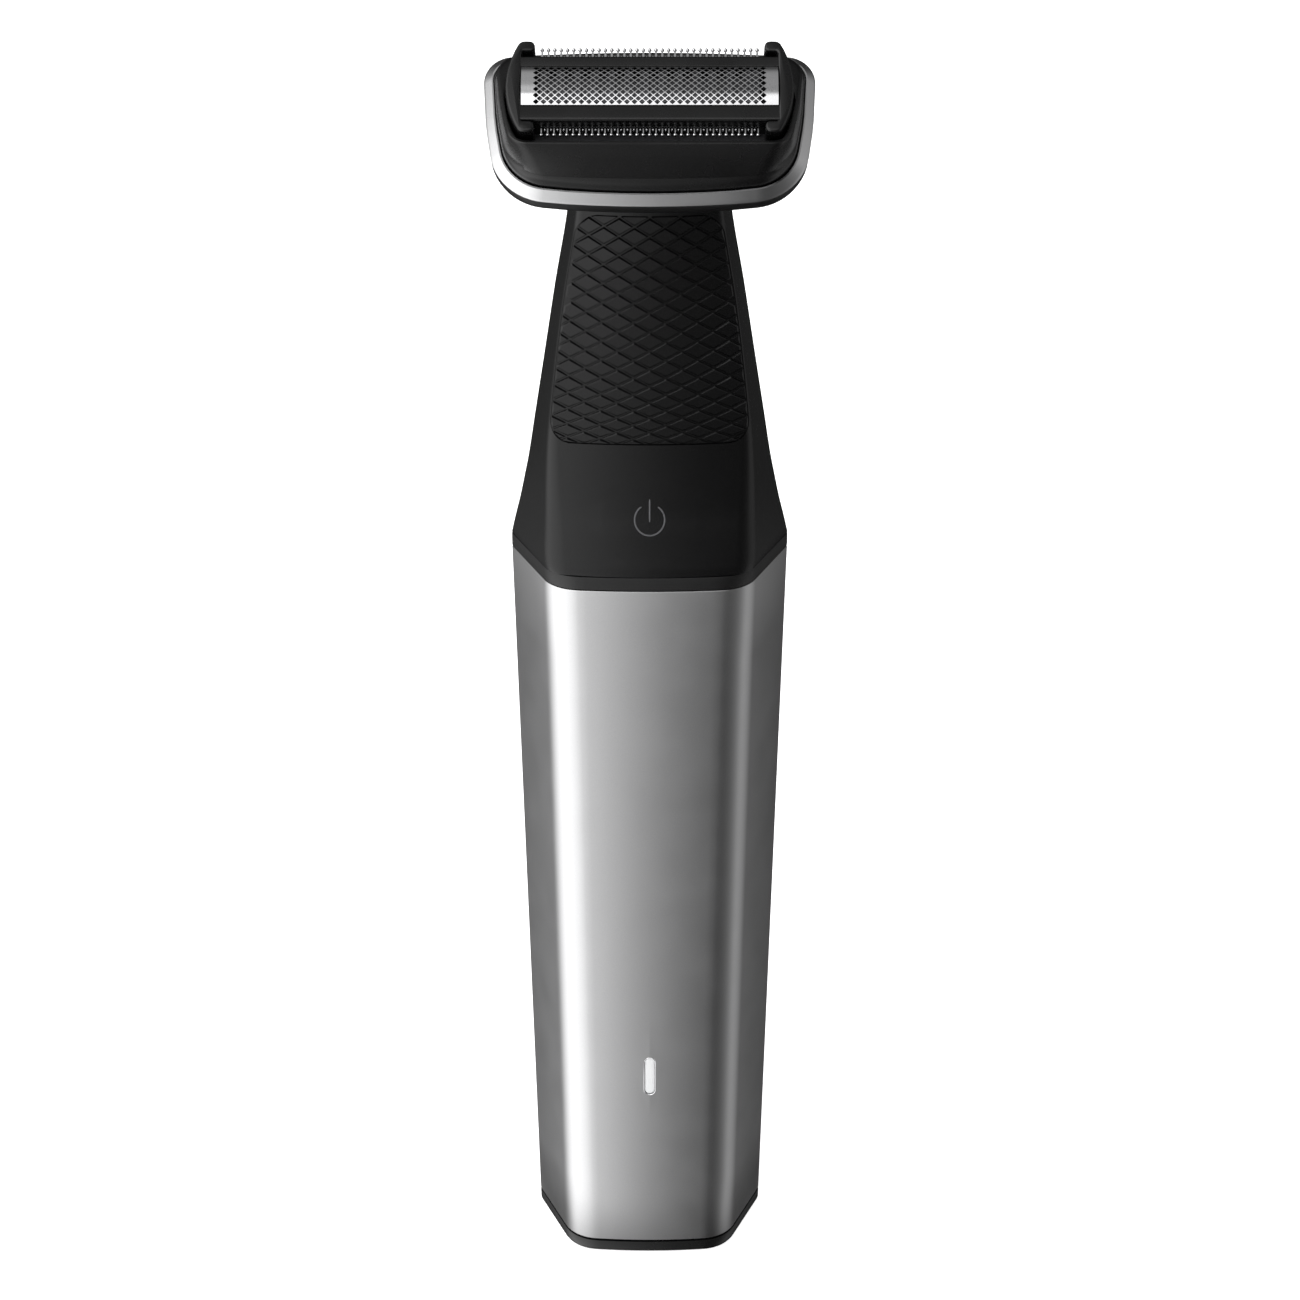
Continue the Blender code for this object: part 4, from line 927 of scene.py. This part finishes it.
def foil_place(x, along, sink):
    """Point of the arched foil at a length along the arch, sunk by a depth."""
    angle = along / FOIL_RADIUS
    radius = FOIL_RADIUS - sink
    return (x, radius * math.sin(angle), FOIL_CENTER_N + radius * math.cos(angle))


def foil():
    """Arched foil with staggered diamond holes between two plain ends."""
    half_arc = FOIL_RADIUS * FOIL_HALF_ANGLE
    half_x = HOLE_PITCH_X / 2.0
    rows = HOLE_ROWS + 1
    half_row = 2.0 * half_arc / rows
    columns = 2 * HOLE_COLUMNS
    flat = []
    faces = []
    corner_index = {}

    def place(i, j):
        return ((i - columns / 2.0) * half_x, -half_arc + j * half_row)

    def corner(i, j):
        if (i, j) not in corner_index:
            corner_index[(i, j)] = len(flat)
            flat.append(place(i, j))
        return corner_index[(i, j)]

    # A hole sits where i and j are both even or both odd; its cell's corners are its four neighbours
    for i in range(columns + 1):
        for j in range(rows + 1):
            if (i + j) % 2 == 1:
                continue
            around = ((i + 1, j), (i, j + 1), (i - 1, j), (i, j - 1))
            inside = [0 <= a <= columns and 0 <= b <= rows for a, b in around]
            if not all(inside):
                first = next(k for k in range(4) if inside[k] and not inside[k - 1])
                cell = [around[(first + k) % 4] for k in range(sum(inside))]
                faces.append((corner(i, j), *[corner(a, b) for a, b in cell]))
                continue
            center = Vector(place(i, j))
            hole = []
            for a, b in around:
                tip = Vector(((a - i) * half_x, (b - j) * half_row)) * HOLE_SIZE
                across = Vector((-tip.y, tip.x)) * (half_x / half_row if a == i else half_row / half_x)
                for lean in (-HOLE_LEAN, HOLE_LEAN):
                    hole.append(len(flat))
                    flat.append(tuple(center + tip * HOLE_TIP + across * lean))
            ring = [corner(a, b) for a, b in around]
            for k in range(4):
                here, after = ring[k], ring[(k + 1) % 4]
                faces.append((here, hole[2 * k + 1], hole[2 * k]))
                faces.append((here, after, hole[(2 * k + 2) % 8], hole[2 * k + 1]))
    for edge, end_x in ((0, -FOIL_HALF_LENGTH), (columns, FOIL_HALF_LENGTH)):
        start = len(flat)
        flat += [(end_x, place(edge, j)[1]) for j in range(rows + 1)]
        faces += [(corner(edge, j), corner(edge, j + 1), start + j + 1, start + j) for j in range(rows)]
    return thick_sheet(flat, faces)


def thick_sheet(flat, faces):
    """Give the foil's flat pattern its arch and its thickness."""
    count = len(flat)
    points = [foil_place(x, along, 0.0) for x, along in flat]
    points += [foil_place(x, along, FOIL_THICKNESS) for x, along in flat]
    borders = {}
    for face in faces:
        for a, b in zip(face, face[1:] + face[:1]):
            key = (min(a, b), max(a, b))
            borders[key] = borders.get(key, 0) + 1
    solid = list(faces) + [tuple(index + count for index in reversed(face)) for face in faces]
    solid += [(a, b, b + count, a + count) for (a, b), uses in borders.items() if uses == 1]
    return points, solid


def toothed_row(side, root, tip, half_length, count, levels, bead_place, bead_radius):
    """Thin plate with tapered teeth along one edge and a bead on each tooth."""
    width = FRONT_TOOTH_WIDTH if side < 0.0 else REAR_TOOTH_WIDTH
    foot = TOOTH_FOOT_SHARE * width
    end = TOOTH_TIP_SHARE * width
    places = [(tooth - (count - 1) / 2.0) * TOOTH_PITCH for tooth in range(count)]
    outline = [(-half_length, root), (-half_length, COMB_GULLET_U)]
    for x in places:
        outline += [(x - foot, COMB_GULLET_U), (x - end, tip), (x + end, tip), (x + foot, COMB_GULLET_U)]
    outline += [(half_length, COMB_GULLET_U), (half_length, root)]
    plate = loft([[(x, side * u, n) for x, u in outline] for n in levels])
    bead_u, bead_n = bead_place
    return merged([plate] + [bead(x, side * bead_u, bead_n, bead_radius) for x in places])


def bead(x, u, n, radius, rings=6, sides=10):
    """Small ball."""
    loops = []
    for ring in range(1, rings):
        tilt = math.pi * ring / rings
        around = radius * math.sin(tilt)
        loops.append([(x + around * math.cos(a), u + around * math.sin(a), n - radius * math.cos(tilt))
                      for a in circle_angles(sides)])
    points, faces = loft(loops)
    faces = faces[:-2]
    bottom, top = len(points), len(points) + 1
    points += [(x, u, n - radius), (x, u, n + radius)]
    last = (rings - 2) * sides
    for side in range(sides):
        after = (side + 1) % sides
        faces.append((side, after, bottom))
        faces.append((last + side, last + after, top))
    return points, faces


def comb(side):
    """Fixed trimmer comb: slim teeth that end in round beads."""
    tip = COMB_FRONT_TIP_U if side < 0.0 else COMB_REAR_TIP_U
    return toothed_row(side, COMB_ROOT_U, tip, COMB_HALF_LENGTH, COMB_TEETH, (COMB_BOTTOM_N, COMB_TOP_N),
                       (tip, COMB_BEAD_N), COMB_BEAD_RADIUS)


def blade(side):
    """Moving blade under a comb, its tips between the comb's teeth."""
    return toothed_row(side, BLADE_ROOT_U, BLADE_TIP_U, BLADE_HALF_LENGTH, BLADE_TEETH,
                       (BLADE_BOTTOM_N, BLADE_TOP_N), (BLADE_BEAD_U, BLADE_BEAD_N), BLADE_BEAD_RADIUS)


# ---- handle pieces

def build_sleeve():
    """Silver sleeve with the window for the status light."""
    length = SEAM_Z - SLEEVE_BOTTOM_Z
    rings = edge_rings(SLEEVE_BOTTOM_Z, SLEEVE_EDGE)
    rings += [sleeve_ring(SLEEVE_BOTTOM_Z + length * k / SLEEVE_LEVELS) for k in range(1, SLEEVE_LEVELS)]
    rings += [sleeve_ring(SEAM_Z - rise, draw) for rise, draw in reversed(SLEEVE_EDGE)]
    rings += [sleeve_ring(SEAM_Z, SLEEVE_WALL), sleeve_ring(SLEEVE_BOTTOM_Z, SLEEVE_WALL)]
    sleeve = piece("sleeve_shell", loft(rings, wrap=True), "sleeve_silver", "handle", "body_sleeve")
    subtract(sleeve, loft([[(x, y, z) for x, z in capsule(LIGHT_WINDOW_GAP)] for y in LIGHT_CUT_Y]))


def light_loops(section):
    """Loops around the status light at each (outwards, back) of a section."""
    return [[(x, LENS_LOW.y + back, z) for x, z in capsule(out)] for out, back in section]


def build_light():
    """Milky lens of the status light and its bright rim."""
    piece("status_light_lens", loft(light_loops(LENS_SECTION)), "lens", "handle", "status_lens")
    rim = piece("status_light_rim", loft(light_loops(LIGHT_RIM_SECTION), wrap=True), "trim_silver", "handle")
    rim.data.materials[0] = LIGHT_RIM


def build_base():
    """Base cap with the opening of the charging socket."""
    rings = edge_rings(0.0, BASE_EDGE) + edge_rings(BASE_TOP_Z, BASE_TOP_EDGE)
    rings += [sleeve_ring(z, BASE_INNER_INSET) for z in (BASE_TOP_Z, BASE_INNER_TOP_Z)]
    base = piece("base_shell", loft(rings), "gloss_black_plastic", "handle", "base_cap")
    corners = rectangle(SOCKET_HIGH.x + SOCKET_GAP, SOCKET_HIGH.y + SOCKET_GAP)
    opening = rounded_outline(corners, (SOCKET_CORNER_RADIUS,) * 4, (SOCKET_CORNER_STEPS,) * 4)
    subtract(base, loft([[(x, y, z) for x, y in opening] for z in SOCKET_CUT_Z]))


def build_collar():
    """Black band between the sleeve and the neck."""
    rings = edge_rings(COLLAR_BOTTOM_Z, COLLAR_BOTTOM_EDGE) + edge_rings(COLLAR_TOP_Z, COLLAR_TOP_EDGE)
    rings += [sleeve_ring(COLLAR_TOP_Z, COLLAR_WALL), sleeve_ring(COLLAR_BOTTOM_Z, COLLAR_WALL)]
    piece("collar_band", loft(rings, wrap=True), "black_plastic", "handle", "collar_ring")


def build_neck():
    """Neck skins, grip pad and the soft skin over the power button."""
    front = piece("neck_front_skin", neck_half(True), "black_rubber", "handle", "neck_front_cover")
    subtract(front, pad_patch(PAD_GAP, PAD_CUT_REACH, PAD_CUT_DEPTH))
    hole = [(SKIN_OUTER_RADIUS * math.sin(a), BUTTON_Z + SKIN_OUTER_RADIUS * math.cos(a))
            for a in circle_angles(SKIN_SIDES)]
    subtract(front, loft([[(x, y, z) for x, z in hole] for y in SKIN_CUT_Y]))
    piece("neck_rear_skin", neck_half(False), "black_rubber", "handle", "neck_rear_cover")
    piece("grip_pad_floor", pad_patch(0.0, -GROOVE_DEPTH, PAD_THICKNESS), "black_rubber", "handle",
          "grip_pad")
    piece("grip_pad_diamonds", diamonds(), "black_rubber", "handle", smooth=15.0)
    piece("button_skin", skin_disc(), "black_rubber", "power_button", "power_button")
    piece("power_icon", power_icon(), "grey_plastic", "power_button", smooth=60.0)
    outer = SKIN_OUTER_RADIUS * math.cos(SKIN_SECTOR_TURN / 2.0)
    for index in range(SKIN_SECTORS):
        points, faces = skin_sector(index)
        sector = add_mesh(f"button_surround_{index + 1:02d}", points, faces, "black_rubber")
        angle = SKIN_SECTOR_TURN * (index + 0.5)
        start = Vector(skin_point(outer, angle, 0.0))
        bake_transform(sector)


def build_head():
    """Head shells, silver ring and the shaving cassette."""
    shell = loft([head_ring(inset, n) for inset, n in LOWER_SECTION])
    lower = piece("head_lower_skin", in_head(shell), "black_plastic", "handle", "head_lower_shell")
    slot = rectangle(BOOT_SLOT_HALF_WIDTH, BOOT_SLOT_HALF_DEPTH)
    subtract(lower, in_head(loft([[(x, u, n) for x, u in slot] for n in BOOT_SLOT_CUT_N])))
    ring = loft([head_ring(inset, n) for inset, n in TRIM_SECTION], wrap=True)
    piece("head_silver_ring", in_head(ring), "trim_silver", "handle", "head_trim_ring")
    piece("head_dome", in_head(dome()), "gloss_black_plastic", "handle", "head_upper_shell")
    for side, label in ((-1.0, "left"), (1.0, "right")):
        piece("cap_" + label, in_head(end_cap(side)), "gloss_black_plastic", "cassette", "end_cap_" + label)
    for side, label in ((-1.0, "front"), (1.0, "rear")):
        piece("bar_" + label, in_head(foil_bar(side)), "gloss_black_plastic", "cassette", "foil_bar_" + label)
        piece("comb_" + label, in_head(comb(side)), "steel", "cassette", label + "_trimmer_comb", smooth=50.0)
        piece("blade_" + label, in_head(blade(side)), "steel", label + "_trimmer_blade",
              label + "_trimmer_blade", smooth=50.0)
    piece("perforated_foil", in_head(foil()), "steel", "cassette", "foil")


# CAD nodes of each slot, by how their names start
SLOT_NODES = {
    "black_rubber": ("base_seal", "neck_gasket", "drive_boot"),
    "black_plastic": ("charge_socket",),
    "gloss_black_plastic": ("cassette_frame",),
    "lens": ("light_pipe", "status_led"),
    "steel": ("motor_can", "motor_shaft"),
    "nickel": ("tact_switch", "battery_tab", "battery_link", "motor_screw", "bridge_guide", "pivot_pin"),
    "brass": ("socket_contact", "eccentric_cam"),
    "cell_wrap": ("battery_cell",),
    "board": ("circuit_board",),
}


def repaint_frame():
    """Give every CAD node its procedural material: grey plastic unless the table says otherwise, and steel
    with painted shade for the inner cutter.
    """
    for name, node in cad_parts.items():
        slots = [slot for slot, starts in SLOT_NODES.items() if name.startswith(starts)]
        material = MATERIALS[slots[0] if slots else "grey_plastic"]
        node.data.materials.clear()
        # The inner cutter's steel is darkened as painted shade
        node.data.materials.append(CUTTER_PAINTED_SHADE if name == "inner_cutter" else material)


# ---- floor and lights

FLOOR_HALF_SIZE_M = 3.0
FLOOR_GREY = 0.9
FLOOR_ROUGHNESS = 0.9
FLOOR_GLOW = 0.7

# Brightness of the surround by direction: degrees from straight ahead, left positive
SURROUND = (
    (-180.0, 0.02), (-150.0, 0.02), (-138.0, 0.03), (-125.0, 0.085), (-105.0, 0.19), (-85.0, 0.24),
    (-68.0, 0.11), (-50.0, 0.06), (-30.0, 0.04), (-18.0, 0.04), (-8.0, 0.075), (0.0, 0.165),
    (8.0, 0.39), (16.0, 0.64), (26.0, 0.78), (55.0, 0.95), (85.0, 0.95), (102.0, 0.62), (118.0, 0.22),
    (133.0, 0.10), (142.0, 0.08), (150.0, 0.03), (180.0, 0.02),
)
SURROUND_STRENGTH = 2.0
# Brightness overhead and straight below, from right to left across this half width
ACROSS_HALF_WIDTH = 0.6
CEILING = ((0.0, 0.02), (0.5, 0.17), (1.0, 0.38))
NADIR = ((0.35, 0.01), (0.5, 0.11), (0.7, 0.34))
# Heights of a direction of length 1 where each of them starts and where it has taken over
CEILING_HEIGHTS = (0.86, 0.97)
NADIR_HEIGHTS = (-0.75, -0.92)


def build_stage():
    """Plain pale floor that reflections leave out."""
    mesh = bpy.data.meshes.new("floor")
    corners = [(x, y, 0.0) for x, y in rectangle(FLOOR_HALF_SIZE_M, FLOOR_HALF_SIZE_M)]
    mesh.from_pydata(corners, [], [(0, 1, 2, 3)])
    floor = add_object("floor", mesh)
    material = bpy.data.materials.new("pale_floor")
    material.use_nodes = True
    tree = material.node_tree
    fill_node(tree, tree.nodes["Principled BSDF"], {
        "Base Color": (FLOOR_GREY, FLOOR_GREY, FLOOR_GREY, 1.0), "Roughness": FLOOR_ROUGHNESS,
        "Specular IOR Level": 0.0, "Emission Color": (1.0, 1.0, 1.0, 1.0), "Emission Strength": FLOOR_GLOW})
    mesh.materials.append(material)
    floor.visible_glossy = False


def grey_ramp(tree, source, stops):
    """Grey ramp from (position, level) stops."""
    return ramp_node(tree, source, [(position, (level, level, level)) for position, level in stops])


def share_node(tree, source, start, end, kind="LINEAR"):
    """Share from 0 at a start value to 1 at an end value."""
    share = new_node(tree, "MapRange", {"From Min": start, "From Max": end}, {"Value": source})
    share.interpolation_type = kind
    return share.outputs["Result"]


def mix_node(tree, factor, first, second):
    """Colour mixed from two others."""
    mix = tree.nodes.new("ShaderNodeMix")
    mix.data_type = "RGBA"
    return fill_node(tree, mix, {}, {0: factor, 6: first, 7: second}).outputs[2]


def build_world():
    """Soft surround, bright at the left and dark at the right, with a ceiling and a nadir."""
    world = bpy.data.worlds.new("studio")
    bpy.context.scene.world = world
    world.use_nodes = True
    tree = world.node_tree
    place = new_node(tree, "TexCoord", {}).outputs["Generated"]
    split = new_node(tree, "SeparateXYZ", {}, {"Vector": place})
    flipped = []
    for axis in ("X", "Y"):
        flip = new_node(tree, "Math", {1: -1.0}, {0: split.outputs[axis]})
        flip.operation = "MULTIPLY"
        flipped.append(flip.outputs[0])
    turn = new_node(tree, "Math", {}, {0: flipped[0], 1: flipped[1]})
    turn.operation = "ARCTAN2"
    around = share_node(tree, turn.outputs[0], -math.pi, math.pi)
    across = share_node(tree, flipped[0], -ACROSS_HALF_WIDTH, ACROSS_HALF_WIDTH)
    above = share_node(tree, split.outputs["Z"], *CEILING_HEIGHTS, "SMOOTHSTEP")
    below = share_node(tree, split.outputs["Z"], *NADIR_HEIGHTS, "SMOOTHSTEP")
    sides = grey_ramp(tree, around, [((degrees + 180.0) / 360.0, level) for degrees, level in SURROUND])
    upper = mix_node(tree, above, sides, grey_ramp(tree, across, CEILING))
    whole = mix_node(tree, below, upper, grey_ramp(tree, across, NADIR))
    fill_node(tree, tree.nodes["Background"], {"Strength": SURROUND_STRENGTH}, {"Color": whole})


def area_light(name, place, aim, size, power, glossy):
    """Soft rectangular light aimed at a point, in metres and watts."""
    data = bpy.data.lights.new(name, "AREA")
    data.shape = "RECTANGLE"
    data.size, data.size_y = size
    data.energy = power
    light = add_object(name, data)
    light.location = place
    light.rotation_euler = (Vector(aim) - Vector(place)).to_track_quat("-Z", "Y").to_euler()
    light.visible_glossy = glossy


def build_lights():
    """Overhead light that reflections leave out, and a soft box before the head."""
    area_light("overhead", (0.0, 0.0, 1.6), (0.0, 0.0, 0.0), (2.4, 2.4), 26.0, False)
    area_light("front_box", (-0.1, -0.85, 0.72), (0.0, -0.01, 0.19), (1.3, 0.52), 2.3, True)


def build_camera():
    """Camera at the photograph's viewing angle."""
    data = bpy.data.cameras.new("camera")
    data.sensor_width = CAMERA_SENSOR
    data.lens = CAMERA_LENS
    data.shift_x = CAMERA_SHIFT_X
    data.clip_start = CAMERA_CLIP_START_M
    camera = add_object("camera", data)
    camera.location = CAMERA_PLACE_M
    camera.rotation_euler = (CAMERA_TILT, 0.0, 0.0)
    bpy.context.scene.camera = camera


repaint_frame()
build_sleeve()
build_light()
build_base()
build_collar()
build_neck()
build_head()
build_stage()
build_world()
build_lights()
build_camera()
bpy.context.scene.view_settings.view_transform = "Standard"
